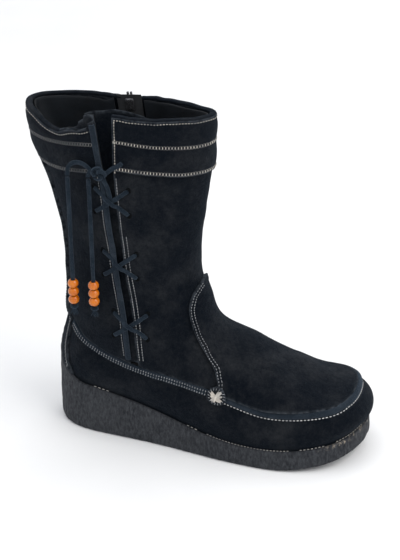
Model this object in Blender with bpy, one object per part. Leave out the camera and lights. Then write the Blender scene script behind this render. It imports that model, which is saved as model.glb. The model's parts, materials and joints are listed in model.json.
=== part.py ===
"""A right-foot moccasin boot: black suede mid-calf shaft on a rubber wedge sole.

Blender 4.5 script, standalone. Lengths below are millimetres; meshes are written in metres.
Frame: the toe points along -Y, up is +Z, the outer (lateral) side is -X. The origin is on the ground,
on the boot's centre line, halfway along the sole.

The boot is built like a shoemaker builds one: first a last, an invisible reference surface, then every
piece of leather as a sheet lying a stated distance outside or inside that surface.
In the working coordinates (s, x, z), s runs from the back of the heel towards the toe, x is positive on
the lateral side and z is the height above the ground.
"""

import math

import bmesh
import bpy
import numpy as np
from mathutils import Matrix, Vector
from mathutils.bvhtree import BVHTree

MM = 0.001

# ---------------------------------------------------------------- driving dimensions, mm
SOLE_LENGTH = 272.0
SHAFT_TOP = 296.0  # height of the cuff's upper edge
CUFF_HEIGHT = 48.0
SUEDE = 1.4  # thickness of the suede sheets
GAP = 0.6  # clearance between neighbouring layers
LINING = 0.8
OVERLAY = 1.0  # clearance under the sheets laid on top of others
LINING_DEPTH = 4.5  # from the last's surface in to the lining's outer face
LIP = 3.0  # thickness of the sole's raised edge
CUP_DEPTH = 6.0  # how far the upper sits down into the sole
TOE_SPRING = 13.0
SIDE_BULGE = 3.4  # how far the side wall puffs out over the sole
HEEL_BULGE = 3.0
TOE_BULGE = 9.0
HEEL_TAB_HEIGHT = 29.0  # how far the sole climbs the back of the heel above its side line
SHAFT_AXIS_S = 66.0  # the shaft's vertical axis, measured from the heel's back
LACE_WIDTH = 3.0
LACE_THICKNESS = 1.3
BEAD_RADIUS = 4.2
BEAD_HEIGHT = 7.0
BEAD_PITCH = 7.4
BEAD_BORE_RADIUS = 2.0
ZIP_HALF_OPENING = 7.0  # from the zip's centre line to the edge of the suede
ORNAMENT_RADIUS = 9.0
ROLL_WIDTH = 4.4  # the raised roll along the moccasin seam
# The strip up the heel's back: height, and half of the angle it spans round the shaft's axis there.
BACKSTAY = ((47.0, 29.5), (60.0, 24.0), (75.0, 17.5), (90.0, 12.0), (104.0, 9.0), (300.0, 8.0))

# Rows of the last from the toe to the cuff. Each is an arc that starts on the front ridge and wraps
# backwards: ridge (s, z), end of the arc projected on the centre plane (s, z), wrap angle in degrees,
# half width on the lateral side and on the medial side. The ends of the open rows draw the moccasin seam.
LAST_ROWS = (
    (262.0, 56.0, 254.0, 54.5, 70.0, 30.0, 30.0),
    (250.5, 59.0, 246.0, 52.5, 72.0, 37.5, 36.0),
    (234.0, 63.6, 230.0, 50.5, 74.0, 43.5, 41.0),
    (214.0, 70.0, 209.0, 49.5, 77.0, 47.5, 43.5),
    (194.0, 77.5, 185.0, 51.0, 81.0, 48.0, 43.0),
    (176.5, 86.0, 159.0, 57.5, 87.0, 45.5, 40.5),
    (161.5, 94.3, 129.0, 63.2, 97.0, 42.0, 38.0),
    (149.0, 103.5, 97.0, 67.6, 107.0, 39.5, 36.5),
    (140.2, 115.5, 66.0, 73.6, 117.0, 38.0, 35.5),
    (134.8, 129.0, 40.0, 82.5, 131.0, 37.0, 35.2),
    (131.3, 138.0, 24.0, 91.5, 146.0, 36.5, 35.0),
    (129.3, 145.0, 13.0, 101.5, 180.0, 36.0, 35.0),
    (127.2, 156.0, 13.3, 125.0, 180.0, 35.6, 34.8),
    (127.2, 172.0, 12.3, 152.0, 180.0, 35.8, 34.5),
    (129.4, 193.0, 9.6, 184.0, 180.0, 36.3, 33.6),
    (133.6, 222.0, 3.5, 220.0, 180.0, 36.5, 31.8),
    (137.5, 249.0, -6.7, 249.0, 180.0, 36.4, 29.0),
    (139.0, 274.0, -12.2, 274.0, 180.0, 36.2, 27.0),
    (140.6, 300.0, -14.8, 300.0, 180.0, 36.0, 25.0),
)
HEEL_ROW = 11  # the row whose two ends meet at the top of the heel

# Plan outline of the sole: distance from the heel's back, lateral half width, medial half width.
SOLE_PLAN = (
    (7.0, 17.0, 17.0),
    (20.0, 27.0, 26.0),
    (42.0, 33.0, 31.0),
    (75.0, 37.0, 33.0),
    (110.0, 42.5, 35.0),
    (145.0, 49.5, 40.0),
    (180.0, 54.5, 45.5),
    (205.0, 55.5, 48.0),
    (228.0, 51.8, 47.0),
    (248.0, 43.3, 41.5),
    (262.0, 29.5, 30.0),
    (269.5, 14.5, 15.5),
)
# Height of the sole's side line: distance from the heel's back, height.
SOLE_SIDE_LINE = (
    (0.0, 47.5),
    (23.0, 46.0),
    (66.0, 40.0),
    (109.0, 30.0),
    (144.0, 21.5),
    (175.0, 18.0),
    (208.0, 19.0),
    (249.0, 25.0),
    (272.0, 30.5),
)
# Ring positions of the columns of the sole and the side wall, from the heel (0) to the toe (1).
RING = (
    *(0, 0.014, 0.028, 0.044, 0.062, 0.082, 0.105, 0.13, 0.16, 0.2, 0.25, 0.31, 0.37, 0.43, 0.49, 0.55),
    *(0.61, 0.67, 0.72, 0.76, 0.795, 0.825, 0.85, 0.872, 0.892, 0.912, 0.934, 0.956, 0.978, 1.0),
)
# Angles of the shaft's columns from straight ahead or straight back, closest where it is most curved.
COLUMNS = (2.0, 5.5, 10.0, 15.5, 22.0, 30.0, 41.0, 55.0, 70.0)
# Edges of the lace slit on the lateral side and the zip's centre line on the medial side: (s, z).
SLIT_FRONT = ((82.0, 74.0), (79.0, 112.0), (72.0, 167.0), (68.0, 225.0), (66.5, 249.0), (67.5, 300.0))
SLIT_REAR = ((75.0, 76.0), (72.5, 112.0), (65.3, 167.0), (60.0, 225.0), (57.5, 249.0), (51.0, 300.0))
ZIP_TOP = (62.8, 293.0)
ZIP_ANKLE = (76.5, 152.0)  # the zip is straight from its top down to here
ZIP_LOWER = ((82.0, 124.0), (91.0, 92.0), (100.0, 64.0), (107.5, 46.0), (114.5, 31.0))
# Edge of the plug's tongue from the ornament up to the middle of the ankle, on the last's own grid:
# share of the wrap, row number.
TONGUE_EDGE = (
    (1.0, 5.2),
    (0.63, 6.25),
    (0.45, 7.4),
    (0.35, 8.35),
    (0.28, 9.3),
    (0.19, 10.2),
    (0.09, 10.9),
    (0.0, 11.2),
)
# Lower edge of the shaft's front panel, hidden under the tongue: angle from straight ahead, height.
UNDER_TONGUE = (
    *((0.0, 138.0), (8.0, 135.0), (14.0, 128.0), (17.5, 117.0)),
    *((19.5, 102.0), (21.5, 84.0), (24.5, 64.5)),
)
ORNAMENT = (152.0, 60.5)
# Lace crossings on the slit, (s, z) of each centre, and the reach of their arms.
CROSSINGS = ((76.0, 112.0), (68.5, 167.0), (64.0, 224.0))
CROSS_REACH = (15.0, 11.4)
LACE_PLANE = 44.5  # the two loose lace ends hang at this distance from the middle of the boot
LACE_ENDS = {"rear": 31.0, "front": 48.5}  # s of each
LACE_END_TOP = 246.0
LOWEST_BEAD = 135.7


# ---------------------------------------------------------------- curves
def spline(knots, values, at):
    """Natural cubic spline through (knots, values), evaluated at each number of at."""
    k, y, at = (np.asarray(a, float) for a in (knots, values, at))
    h = np.diff(k)
    n = len(k)
    matrix, right = np.eye(n), np.zeros(n)
    for i in range(1, n - 1):
        matrix[i, i - 1 : i + 2] = h[i - 1], 2 * (h[i - 1] + h[i]), h[i]
        right[i] = 6 * ((y[i + 1] - y[i]) / h[i] - (y[i] - y[i - 1]) / h[i - 1])
    m = np.linalg.solve(matrix, right)
    i = np.clip(np.searchsorted(k, at) - 1, 0, n - 2)
    a, b, w = k[i + 1] - at, at - k[i], h[i]
    bend = m[i] * a**3 + m[i + 1] * b**3
    return bend / (6 * w) + (y[i] / w - m[i] * w / 6) * a + (y[i + 1] / w - m[i + 1] * w / 6) * b


def smooth_step(t):
    t = np.clip(t, 0.0, 1.0)
    return t * t * (3 - 2 * t)


def along(points, count):
    """count points evenly spaced along a polyline."""
    points = np.asarray(points, float)
    length = np.concatenate([[0], np.cumsum(np.linalg.norm(np.diff(points, axis=0), axis=1))])
    at = np.linspace(0, length[-1], count)
    return np.column_stack([np.interp(at, length, c) for c in points.T])


def s_at(line, z):
    """s of a side-view line, given as (s, z) pairs of rising z, at the height z."""
    s, heights = zip(*sorted(line, key=lambda p: p[1]))
    return float(np.interp(z, heights, s))


# ---------------------------------------------------------------- the last
ROW_TABLE = np.array(LAST_ROWS)
ROW_NUMBERS = np.arange(len(LAST_ROWS))


def last_point(u, v):
    """Point (s, x, z) of the last: v is the row number, u runs from -1 (medial end) to 1 (lateral end)."""
    u, v = np.asarray(u, float), np.asarray(v, float)
    ridge_s, ridge_z, end_s, end_z, wrap, lateral, medial = (spline(ROW_NUMBERS, c, v) for c in ROW_TABLE.T)
    wrap = np.radians(np.where(v >= HEEL_ROW, 180.0, np.minimum(wrap, 180.0)))
    angle = np.abs(u) * wrap
    reach = (1 - np.cos(angle)) / (1 - np.cos(wrap))
    half = np.where(u > 0, lateral, medial)
    x = np.sign(u) * half * np.sin(angle)
    return np.stack([ridge_s + (end_s - ridge_s) * reach, x, ridge_z + (end_z - ridge_z) * reach], axis=-1)


def seam_line(count):
    """The moccasin seam as a closed ring from the heel, along the lateral side, round the toe and back."""
    side = np.linspace(HEEL_ROW, 0, 120)
    toe = np.linspace(1, -1, 41)[1:-1]
    lateral, medial = (last_point(np.full(120, u), side) for u in (1.0, -1.0))
    front = last_point(toe, np.zeros(len(toe)))
    half = (len(front) - 1) // 2
    outer = along(np.vstack([lateral, front[: half + 1]]), count + 1)
    inner = along(np.vstack([front[half:], medial[::-1]]), count + 1)
    return np.vstack([outer, inner[1:-1]])


def sole_outline(count, inset=0.0):
    """Plan outline (s, x), as many points and in the same order as seam_line."""
    plan = np.array(SOLE_PLAN)
    ring = [(0.0, 0.0), *plan[:, :2], (SOLE_LENGTH, 0.0), *(plan[::-1, [0, 2]] * (1, -1)), (0.0, 0.0)]
    ring = np.array(ring)
    wrapped = np.vstack([ring[-4:-1], ring, ring[1:4]])
    length = np.concatenate([[0], np.cumsum(np.linalg.norm(np.diff(wrapped, axis=0), axis=1))])
    start, middle, end = length[3], length[3 + len(SOLE_PLAN) + 1], length[-4]
    fine = np.concatenate([np.linspace(start, middle, 400), np.linspace(middle, end, 400)[1:]])
    dense = np.column_stack([spline(length, c, fine) for c in wrapped.T])
    tangent = np.gradient(dense, axis=0)
    tangent /= np.linalg.norm(tangent, axis=1)[:, None]
    dense = dense + inset * np.column_stack([tangent[:, 1], -tangent[:, 0]])
    outer, inner = along(dense[:400], count + 1), along(dense[399:], count + 1)
    return np.vstack([outer, inner[1:-1]])


def side_line(s):
    knots, heights = zip(*SOLE_SIDE_LINE)
    return spline(knots, heights, np.clip(s, 0, SOLE_LENGTH))


def wall_point(t, w, count=240):
    """Point of the foot's side wall: t counts round the ring, 0 at the heel, 1 at the toe, 2 at the heel
    again; w climbs from the sole's cup (0) to the moccasin seam (1)."""
    t, w = np.asarray(t, float) % 2.0, np.asarray(w, float)
    top, base, normal = ([np.interp(t * count, WALL_NUMBERS, c) for c in ring.T] for ring in WALL_RINGS)
    z = base[2] + (top[2] - base[2]) * w
    free = (CUP_DEPTH + 1.0) / (top[2] - base[2])
    climb = np.clip((w - free) / (1 - free), 0, 1)
    bulge = SIDE_BULGE + (TOE_BULGE - SIDE_BULGE) * np.exp(-(((SOLE_LENGTH - base[0]) / 24.0) ** 2))
    bulge = bulge - (SIDE_BULGE - HEEL_BULGE) * np.exp(-((base[0] / 40.0) ** 2))
    bulge = bulge * np.sin(np.pi * climb**0.85)
    s = base[0] + (top[0] - base[0]) * climb + bulge * normal[0]
    x = base[1] + (top[1] - base[1]) * climb + bulge * normal[1]
    return np.stack([s, x, z], axis=-1)


def plan_normal(ring):
    """Unit normal in plan, pointing out, at each point of a closed ring that ends on its first point."""
    step = np.roll(ring[:-1], -1, axis=0) - np.roll(ring[:-1], 1, axis=0)
    step = np.vstack([step, step[:1]])[:, :2]
    step /= np.linalg.norm(step, axis=1)[:, None]
    return np.column_stack([-step[:, 1], step[:, 0]])


def make_wall_rings(count=240):
    """The wall's upper ring, its lower ring and its outward directions in plan, each closed on itself."""
    foot = sole_outline(count, inset=LIP + GAP)
    height = side_line(foot[:, 0]) - CUP_DEPTH
    upper, lower = (np.vstack([r, r[:1]]) for r in (seam_line(count), np.column_stack([foot, height])))
    return upper, lower, plan_normal(lower)


WALL_NUMBERS = np.arange(481)
WALL_RINGS = make_wall_rings()


def grid_faces(rows, columns):
    """Quads of a rows x columns grid of points numbered row by row."""
    cell = np.arange(rows * columns).reshape(rows, columns)
    a, b, c, d = cell[:-1, :-1], cell[:-1, 1:], cell[1:, 1:], cell[1:, :-1]
    return np.stack([a, b, c, d], axis=-1).reshape(-1, 4)


def outward(points):
    """Rough outward direction at points of the last."""
    s, x, z = points.T
    leg = (z > 110.0) | (s < SHAFT_AXIS_S)
    ds = np.where(leg, s - SHAFT_AXIS_S, s - np.clip(s, 0, 215.0))
    return np.column_stack([ds, x, np.where(leg, 0.0, z - 40.0)])


class Surface:
    """The last as a dense mesh that a straight line can be run into."""

    def __init__(self, points, faces):
        self.points = points
        self.faces = np.vstack([faces[:, [0, 1, 2]], faces[:, [0, 2, 3]]])
        corner = points[self.faces]
        face_normal = np.cross(corner[:, 1] - corner[:, 0], corner[:, 2] - corner[:, 0])
        flip = np.sum(face_normal * outward(corner.mean(axis=1)), axis=1) < 0
        face_normal[flip] *= -1
        self.normals = np.zeros_like(points)
        for k in range(3):
            np.add.at(self.normals, self.faces[:, k], face_normal)
        self.normals /= np.maximum(np.linalg.norm(self.normals, axis=1), 1e-9)[:, None]
        self.tree = BVHTree.FromPolygons(points.tolist(), self.faces.tolist())

    def _moved(self, point, index, offset):
        corner = self.faces[index]
        a, b, c = self.points[corner]
        p = np.array(point)
        share = [np.linalg.norm(np.cross(q - p, r - p)) for q, r in ((b, c), (c, a), (a, b))]
        normal = np.array(share) @ self.normals[corner]
        normal /= np.linalg.norm(normal)
        return p + offset * normal, normal

    def meet(self, start, direction, offset=0.0):
        """Where a line from start leaves the surface, moved out by offset, and the normal there."""
        start, direction = Vector(start), Vector(direction).normalized()
        for nudge in (0.0, 0.03, -0.03, 0.09):
            hit, _, index, _ = self.tree.ray_cast(start + Vector((nudge, nudge, nudge)), direction)
            if hit is not None:
                return self._moved(hit, index, offset)
        raise ValueError("the line misses the last")

    def nearest(self, point, offset=0.0):
        """The surface point nearest to a point, moved out by offset, and the normal there."""
        hit, _, index, _ = self.tree.find_nearest(Vector(point))
        return self._moved(hit, index, offset)


def make_last(rows=220, columns=181, ring=240, climb=25):
    """The whole outer surface: the rows of the upper and, under the seam, the side wall."""
    u, v = np.meshgrid(np.linspace(-1, 1, columns), np.linspace(0, len(LAST_ROWS) - 1, rows))
    upper = last_point(u.ravel(), v.ravel())
    t, w = np.meshgrid(np.linspace(0, 2, 2 * ring + 1), np.linspace(0, 1, climb))
    wall = wall_point(t.ravel(), w.ravel())
    faces = np.vstack([grid_faces(rows, columns), grid_faces(climb, 2 * ring + 1) + len(upper)])
    return Surface(np.vstack([upper, wall]), faces)


LAST = make_last()


def round_shaft(angle, z, offset=0.0):
    """Point at a height z, at an angle in degrees about the shaft's axis: 0 ahead, 90 lateral, 180 back."""
    a = math.radians(angle)
    return LAST.meet((SHAFT_AXIS_S, 0.0, z), (math.cos(a), math.sin(a), 0.0), offset)


def from_side(s, z, side, offset=0.0):
    """Point seen from the side at (s, z): side is 1 for lateral, -1 for medial."""
    return LAST.meet((s, side * 90.0, z), (0.0, -side, 0.0), offset)


def angle_of(s, z, side):
    """Angle about the shaft's axis of the point seen from the side at (s, z)."""
    point, _ = from_side(s, z, side)
    return math.degrees(math.atan2(abs(point[1]), point[0] - SHAFT_AXIS_S))


# ---------------------------------------------------------------- side-view lines
def zip_s(z):
    """s of the zip's centre line at a height."""
    if z >= ZIP_ANKLE[1]:
        return s_at((ZIP_TOP, ZIP_ANKLE), z)
    middle = ((ZIP_TOP[0] + 3 * ZIP_ANKLE[0]) / 4, (ZIP_TOP[1] + 3 * ZIP_ANKLE[1]) / 4)
    s, heights = zip(*sorted((middle, ZIP_ANKLE, *ZIP_LOWER), key=lambda p: p[1]))
    return float(spline(heights, s, [z])[0])


def slit_front(z):
    return angle_of(s_at(SLIT_FRONT, z), z, 1)


def slit_rear(z):
    return angle_of(s_at(SLIT_REAR, z), z, 1)


def zip_front(z, clearance=ZIP_HALF_OPENING):
    return -angle_of(zip_s(z) + clearance, z, -1)


def zip_rear(z, clearance=ZIP_HALF_OPENING):
    return 360.0 - angle_of(zip_s(z) - clearance, z, -1)


def seam_point(angle, side, above):
    """(signed angle, height) a little above the moccasin seam at an angle from straight ahead."""
    ends = last_point(np.full(161, float(side)), np.linspace(3, HEEL_ROW, 161))
    angles = np.degrees(np.arctan2(np.abs(ends[:, 1]), ends[:, 0] - SHAFT_AXIS_S))
    return side * angle, float(np.interp(angle, angles, ends[:, 2])) + above


def cup_point(angle):
    """(angle, height) of the foot of the side wall at an angle, which may be counted past the back."""
    ring = np.linspace(0, 2, 481)
    s, x, z = wall_point(ring, np.full(481, 0.03)).T
    around = np.degrees(np.arctan2(x, s - SHAFT_AXIS_S)) % 360.0
    order = np.argsort(around)
    return angle, float(np.interp(angle, around[order], z[order])) + 0.4


# ---------------------------------------------------------------- bodies
def world(points):
    points = np.atleast_2d(np.asarray(points, float))
    return np.column_stack([-points[:, 1], SOLE_LENGTH / 2 - points[:, 0], points[:, 2]]) * MM


def make_material(name, colour, roughness, metallic=0.0):
    material = bpy.data.materials.new(name)
    material.use_nodes = True
    shader = material.node_tree.nodes["Principled BSDF"]
    shader.inputs["Base Color"].default_value = (*colour, 1.0)
    shader.inputs["Roughness"].default_value = roughness
    shader.inputs["Metallic"].default_value = metallic
    material.diffuse_color = (*colour, 1.0)
    return material


def add_body(name, points, faces, material, pivot=None, parent=None):
    """One closed body. Its origin is the pivot, if one is given, and it may ride on a parent."""
    pivot = np.zeros(3) if pivot is None else world(pivot)[0]
    mesh = bpy.data.meshes.new(name)
    mesh.from_pydata((world(points) - pivot).tolist(), [], [tuple(int(i) for i in f) for f in faces])
    work = bmesh.new()
    work.from_mesh(mesh)
    bmesh.ops.recalc_face_normals(work, faces=work.faces)
    work.to_mesh(mesh)
    work.free()
    mesh.shade_smooth()
    mesh.set_sharp_from_angle(angle=math.radians(40))
    mesh.materials.append(material)
    body = bpy.data.objects.new(name, mesh)
    bpy.context.scene.collection.objects.link(body)
    body.location = pivot
    if parent is not None:
        body.parent = parent
        body.location = Vector(pivot) - parent.matrix_world.translation
    bpy.context.view_layer.update()
    return body


def rim_of(rows, columns):
    """Numbers of the points round the border of a grid."""
    cell = np.arange(rows * columns).reshape(rows, columns)
    return [*cell[0, :-1], *cell[:-1, -1], *cell[-1, :0:-1], *cell[:0:-1, 0]]


def sheet(name, place, rows, columns, inner, outer, material):
    """A sheet lying on the last between two distances from it. place(f, g) gives a point of the last and
    its normal for the shares f along a row and g up a column; rows and columns may be lists of shares."""
    up = np.linspace(0, 1, rows) if isinstance(rows, int) else rows
    across = np.linspace(0, 1, columns) if isinstance(columns, int) else columns
    found = [place(f, g) for g in up for f in across]
    points, normals = (np.array(a) for a in zip(*found))
    count = len(points)
    quads = grid_faces(len(up), len(across))
    rim = rim_of(len(up), len(across))
    halves = np.vstack([quads[:, [0, 1, 2]], quads[:, [0, 2, 3]]])
    faces = [*halves, *(halves[:, ::-1] + count)]
    faces += [(a, b, b + count, a + count) for a, b in zip(rim, rim[1:] + rim[:1])]
    return add_body(name, np.vstack([points + outer * normals, points + inner * normals]), faces, material)


# Heights of a shaft panel's rows, close together where the heel curves in.
ROW_LEVELS = (20, 34, 48, 60, 72, 82, 90, 97, 103, 109, 115, 122, 131, 144, 162, 186, 216, 248, 275, 302)


def panel(name, middle, edges, low, top, rows, inner, outer, material, cup=False, follow=1.6):
    """A sheet on the shaft. low lists the (angle, height) points of its lower edge, one for each column.
    A column keeps its angle near the middle angle and follows the panel's upright edge near that edge:
    edges holds the edge's angle as a function of height for each side of the middle, -1 and 1. A panel
    that starts in the sole's cup has its second row just above the cup's edge."""
    numbers = np.arange(len(ROW_LEVELS))
    reference = {side: max(side * (a - middle) for a, _ in low) for side in edges}

    def place(f, g):
        angle, bottom = low[int(round(f))]
        side = 1 if angle > middle else -1
        start = bottom + (CUP_DEPTH + 0.6 if cup else 0.0)
        rise = (g * (rows - 1) - 1) / (rows - 2) if cup else g
        first, last = np.interp([start, top], ROW_LEVELS, numbers)
        z = float(np.interp(first + (last - first) * rise, numbers, ROW_LEVELS)) if rise >= 0 else bottom
        if side in edges:
            share = abs(angle - middle) / reference[side]
            angle += (edges[side](z) - middle - side * reference[side]) * share**follow
        return round_shaft(angle, z)

    return sheet(name, place, rows, range(len(low)), inner, outer, material)


def sweep(name, path, profile, material, pivot=None, parent=None, lift=None):
    """A bar along a path of (point, normal) pairs. The profile lists (across, up) pairs, up being along
    the normal; lift adds a height to each place of the path."""
    points, normals = (np.array(a, float) for a in zip(*path))
    along_path = np.gradient(points, axis=0)
    along_path /= np.linalg.norm(along_path, axis=1)[:, None]
    normals = normals - np.sum(normals * along_path, axis=1)[:, None] * along_path
    normals /= np.linalg.norm(normals, axis=1)[:, None]
    across = np.cross(normals, along_path)
    points = points + (0 if lift is None else np.array(lift)[:, None] * normals)
    rings = [points + a * across + b * normals for a, b in profile]
    return rings_body(name, np.stack(rings, axis=1), material, pivot, parent)


def rings_body(name, rings, material, pivot=None, parent=None):
    """A body skinned over rings of points, its two ends closed."""
    number, count = rings.shape[:2]
    faces = [range(count - 1, -1, -1), range((number - 1) * count, number * count)]
    for i in range(number - 1):
        for j in range(count):
            k = (j + 1) % count
            faces.append((i * count + j, i * count + k, (i + 1) * count + k, (i + 1) * count + j))
    return add_body(name, rings.reshape(-1, 3), faces, material, pivot, parent)


def turned(name, profile, middle, material, segments=16, pivot=None, parent=None):
    """A ring turned about an upright axis from a closed profile of (radius, height) pairs."""
    angles = np.linspace(0, 2 * math.pi, segments, endpoint=False)
    points = [
        (middle[0] + r * math.cos(a), middle[1] + r * math.sin(a), middle[2] + h)
        for a in angles
        for r, h in profile
    ]
    count = len(profile)
    faces = []
    for i in range(segments):
        for j in range(count):
            k, n = (j + 1) % count, (i + 1) % segments
            faces.append((i * count + j, i * count + k, n * count + k, n * count + j))
    return add_body(name, points, faces, material, pivot, parent)


def band(width, low, high, round_over=0.3):
    """Profile of a flat strip with its corners taken off."""
    a, r = width / 2, round_over
    lower = ((-a, low + r), (-a + r, low), (a - r, low), (a, low + r))
    return (*lower, (a, high - r), (a - r, high), (r - a, high), (-a, high - r))


def oval(width, low, high, count=8):
    turn = [2 * math.pi * (k + 0.5) / count for k in range(count)]
    return [(width / 2 * math.cos(q), (low + high) / 2 + (high - low) / 2 * math.sin(q)) for q in turn]


# ---------------------------------------------------------------- sole
def outline_at(t, inset):
    ring = sole_outline(240, inset)
    ring = np.vstack([ring, ring[:1]])
    return np.column_stack([np.interp(np.asarray(t) * 240, WALL_NUMBERS, c) for c in ring.T])


def sole_bottom(s):
    spring = TOE_SPRING * np.clip((s - 195.0) / 77.0, 0, 1) ** 1.7
    return spring + 3.5 * np.clip((11.0 - s) / 11.0, 0, 1) ** 2


def ladder(ring_start, count):
    """Faces closing a ring whose two halves run side by side."""
    faces = []
    for i in range(count // 2):
        a, b = i, i + 1
        c, d = (count - b) % count, (count - a) % count
        face = [ring_start + k for k in dict.fromkeys((a, b, c, d))]
        faces.append(face)
    return faces


def stack(name, rings, material):
    """A body made of plan rings stacked one on the other, its first and last rings closed."""
    count = len(rings[0])
    faces = [f[::-1] for f in ladder(0, count)] + ladder((len(rings) - 1) * count, count)
    for i in range(len(rings) - 1):
        for j in range(count):
            k = (j + 1) % count
            faces.append((i * count + j, i * count + k, (i + 1) * count + k, (i + 1) * count + j))
    return add_body(name, np.vstack(rings), faces, material)


def with_height(ring, z):
    return np.column_stack([ring, z])


def full_ring(half):
    """Ring positions all the way round from those of one half."""
    half = np.array(half)
    return np.concatenate([half, 2 - half[-2:0:-1]])


def make_outsole(rubber):
    """The rubber wedge: a cup with a raised edge, climbing the back of the heel in a pointed tab."""
    t = full_ring(RING)
    edge = outline_at(t, 0.0)
    under = sole_bottom(edge[:, 0])
    rings = ([np.interp(t * 240, WALL_NUMBERS, c) for c in ring.T] for ring in WALL_RINGS)
    upper, lower, normal = (np.column_stack(ring) for ring in rings)
    side = lower[:, 2] + CUP_DEPTH
    from_back = np.minimum(t, 2 - t) * 300.0
    tab = HEEL_TAB_HEIGHT * np.clip(1 - from_back / 38.0, 0, 1) ** 1.4

    def climb(z, out):
        share = (z - lower[:, 2]) / (upper[:, 2] - lower[:, 2])
        return with_height(wall_point(t, share)[:, :2] + out * normal[:, :2], z)

    rings = [
        with_height(outline_at(t, 6.0), under),
        with_height(outline_at(t, 2.0), under),
        with_height(outline_at(t, 0.4), under + 1.8),
        with_height(edge, under * 0.6 + (side - 3) * 0.4),
    ]
    heights = [side - 3 + f * (3 + tab) for f in (0.0, 0.33, 0.67, 1.0)]
    rings += [climb(z, LIP) for z in heights[:3]]
    rings += [climb(heights[3] - 0.5, LIP - 0.2), climb(heights[3], LIP - 0.9), climb(heights[3], GAP + 0.3)]
    rings += [climb(heights[3] - 0.6, GAP * 0.9)]
    rings += [climb(z, GAP * 0.9) for z in heights[2::-1]]
    rings += [with_height(outline_at(t, LIP), side - CUP_DEPTH - 1.2)]
    return stack("outsole", rings, rubber)


def inner_ring(t, inset, above_floor):
    ring = outline_at(t, inset)
    return with_height(ring, side_line(ring[:, 0]) - CUP_DEPTH - 1.2 + above_floor)


def make_boards(board, foam):
    t = full_ring(RING[::2] if len(RING) % 2 else (*RING[:-1:2], RING[-1]))
    stack("insole_board", [inner_ring(t, 10.0, h) for h in (0.5, 2.3)], board)
    levels = ((10.8, 2.8), (10.4, 3.6), (10.4, 6.2), (11.4, 7.2), (15.0, 6.4))
    stack("footbed", [inner_ring(t, inset, h) for inset, h in levels], foam)


# ---------------------------------------------------------------- upper
def wall_sheet(name, first, last, low, high, rows, columns, inner, outer, material):
    """A sheet of the side wall between the ring positions first(w) and last(w). Its second row lies just
    above the sole's edge, where the wall starts to puff out."""

    def place(f, g):
        t = first(0.5) + f * (last(0.5) - first(0.5))
        number = (t % 2) * 240
        upper, lower = (np.interp(number, WALL_NUMBERS, ring[:, 2]) for ring in WALL_RINGS[:2])
        free, step = (CUP_DEPTH + 1.0) / (upper - lower), 1 / (rows - 1)
        w = np.interp(g, [0, step, 1], [low, free, high(t)])
        return LAST.nearest(wall_point([first(w) + f * (last(w) - first(w))], [w])[0])

    return sheet(name, place, rows, columns, inner, outer, material)


def below_seam(t):
    """Height share of the side wall's upper edge, clear of the seam's roll."""
    place = int(round((t % 2) * 240))
    upper, lower = WALL_RINGS[0][place], WALL_RINGS[1][place]
    return 1 - (ROLL_WIDTH / 2 + 0.5) / (upper[2] - lower[2])


def medial_end(w):
    """Ring position where the side wall stops at the front edge of the zip."""
    t = np.linspace(1.2, 1.9, 141)
    points = wall_point(t, np.full(141, w))
    past = points[:, 0] - ZIP_HALF_OPENING - np.array([zip_s(z) for z in points[:, 2]])
    return float(np.interp(0, past[::-1], t[::-1]))


def make_vamp(suede):
    end = medial_end(0.5)
    positions = [0.004, *RING[1:], *(2 - r for r in RING[-2::-1] if 2 - r < end - 0.02), end]
    shares = [(r - 0.004) / (end - 0.004) for r in positions]
    wall_sheet("vamp_wall", lambda w: 0.004, medial_end, 0.0, below_seam, 9, shares, -SUEDE, 0.0, suede)


def beside_seam(point, clearance):
    """The place on the plug's side of the moccasin seam, at a clearance from the seam's nearest point."""
    seam = WALL_RINGS[0]
    number = int(np.argmin(np.sum((seam - point) ** 2, axis=1)))
    _, normal = LAST.nearest(seam[number])
    inward = np.cross(normal, seam[(number + 1) % 480] - seam[number - 1])
    inward *= np.sign(inward @ (np.array([min(seam[number][0] - 5, 215.0), 0.0, 75.0]) - seam[number]))
    return LAST.nearest(seam[number] + inward / np.linalg.norm(inward) * clearance)


def make_plug(suede):
    """The plug on top of the foot and the tongue it runs into, in one piece."""
    share = np.array(TONGUE_EDGE)
    side = np.concatenate([-share[:, 0], share[::-1][1:, 0]])
    row = np.concatenate([share[:, 1], share[::-1][1:, 1]])
    number = np.linspace(-1, 1, len(side))

    def place(f, g):
        c = 2 * f - 1
        u, v = np.interp(c, number, side), np.interp(c, number, row)
        point = last_point([(1 - g) * c + g * u], [v * g])[0]
        from_edge = round(min(16 * g, 11 * (1 - abs(c))))
        clearance = ROLL_WIDTH / 2 + 0.7 + 3.0 * min(from_edge, 3)
        near = np.min(np.linalg.norm(WALL_RINGS[0] - point, axis=1)) < clearance
        return beside_seam(point, clearance) if near else LAST.nearest(point)

    sheet("plug", place, 17, 23, OVERLAY, OVERLAY + SUEDE, suede)


def columns(edge, side, middle):
    """Angles of a panel's columns from its upright edge to the middle of the front or the back."""
    return [middle + side * c for c in COLUMNS if c < abs(edge - middle) - 4.0]


def front_low(lateral_edge, medial_edge, above, widen=1.0):
    """Lower edge of a front sheet: along the moccasin seam on both sides and hidden under the tongue."""
    ahead = [seam_point(a, 1, above) for a in (*COLUMNS[:4:-1], 27.0) if a < lateral_edge - 4.0]
    zipped = [seam_point(a, -1, above) for a in (27.0, 33.0)]
    hidden = [(widen * a, z) for a, z in UNDER_TONGUE[1:] if widen * a < 25.0]
    under = [*hidden[::-1], UNDER_TONGUE[0], *((-a, z) for a, z in hidden)]
    return [seam_point(lateral_edge, 1, above), *ahead, *under, *zipped, seam_point(-medial_edge, -1, above)]


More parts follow.
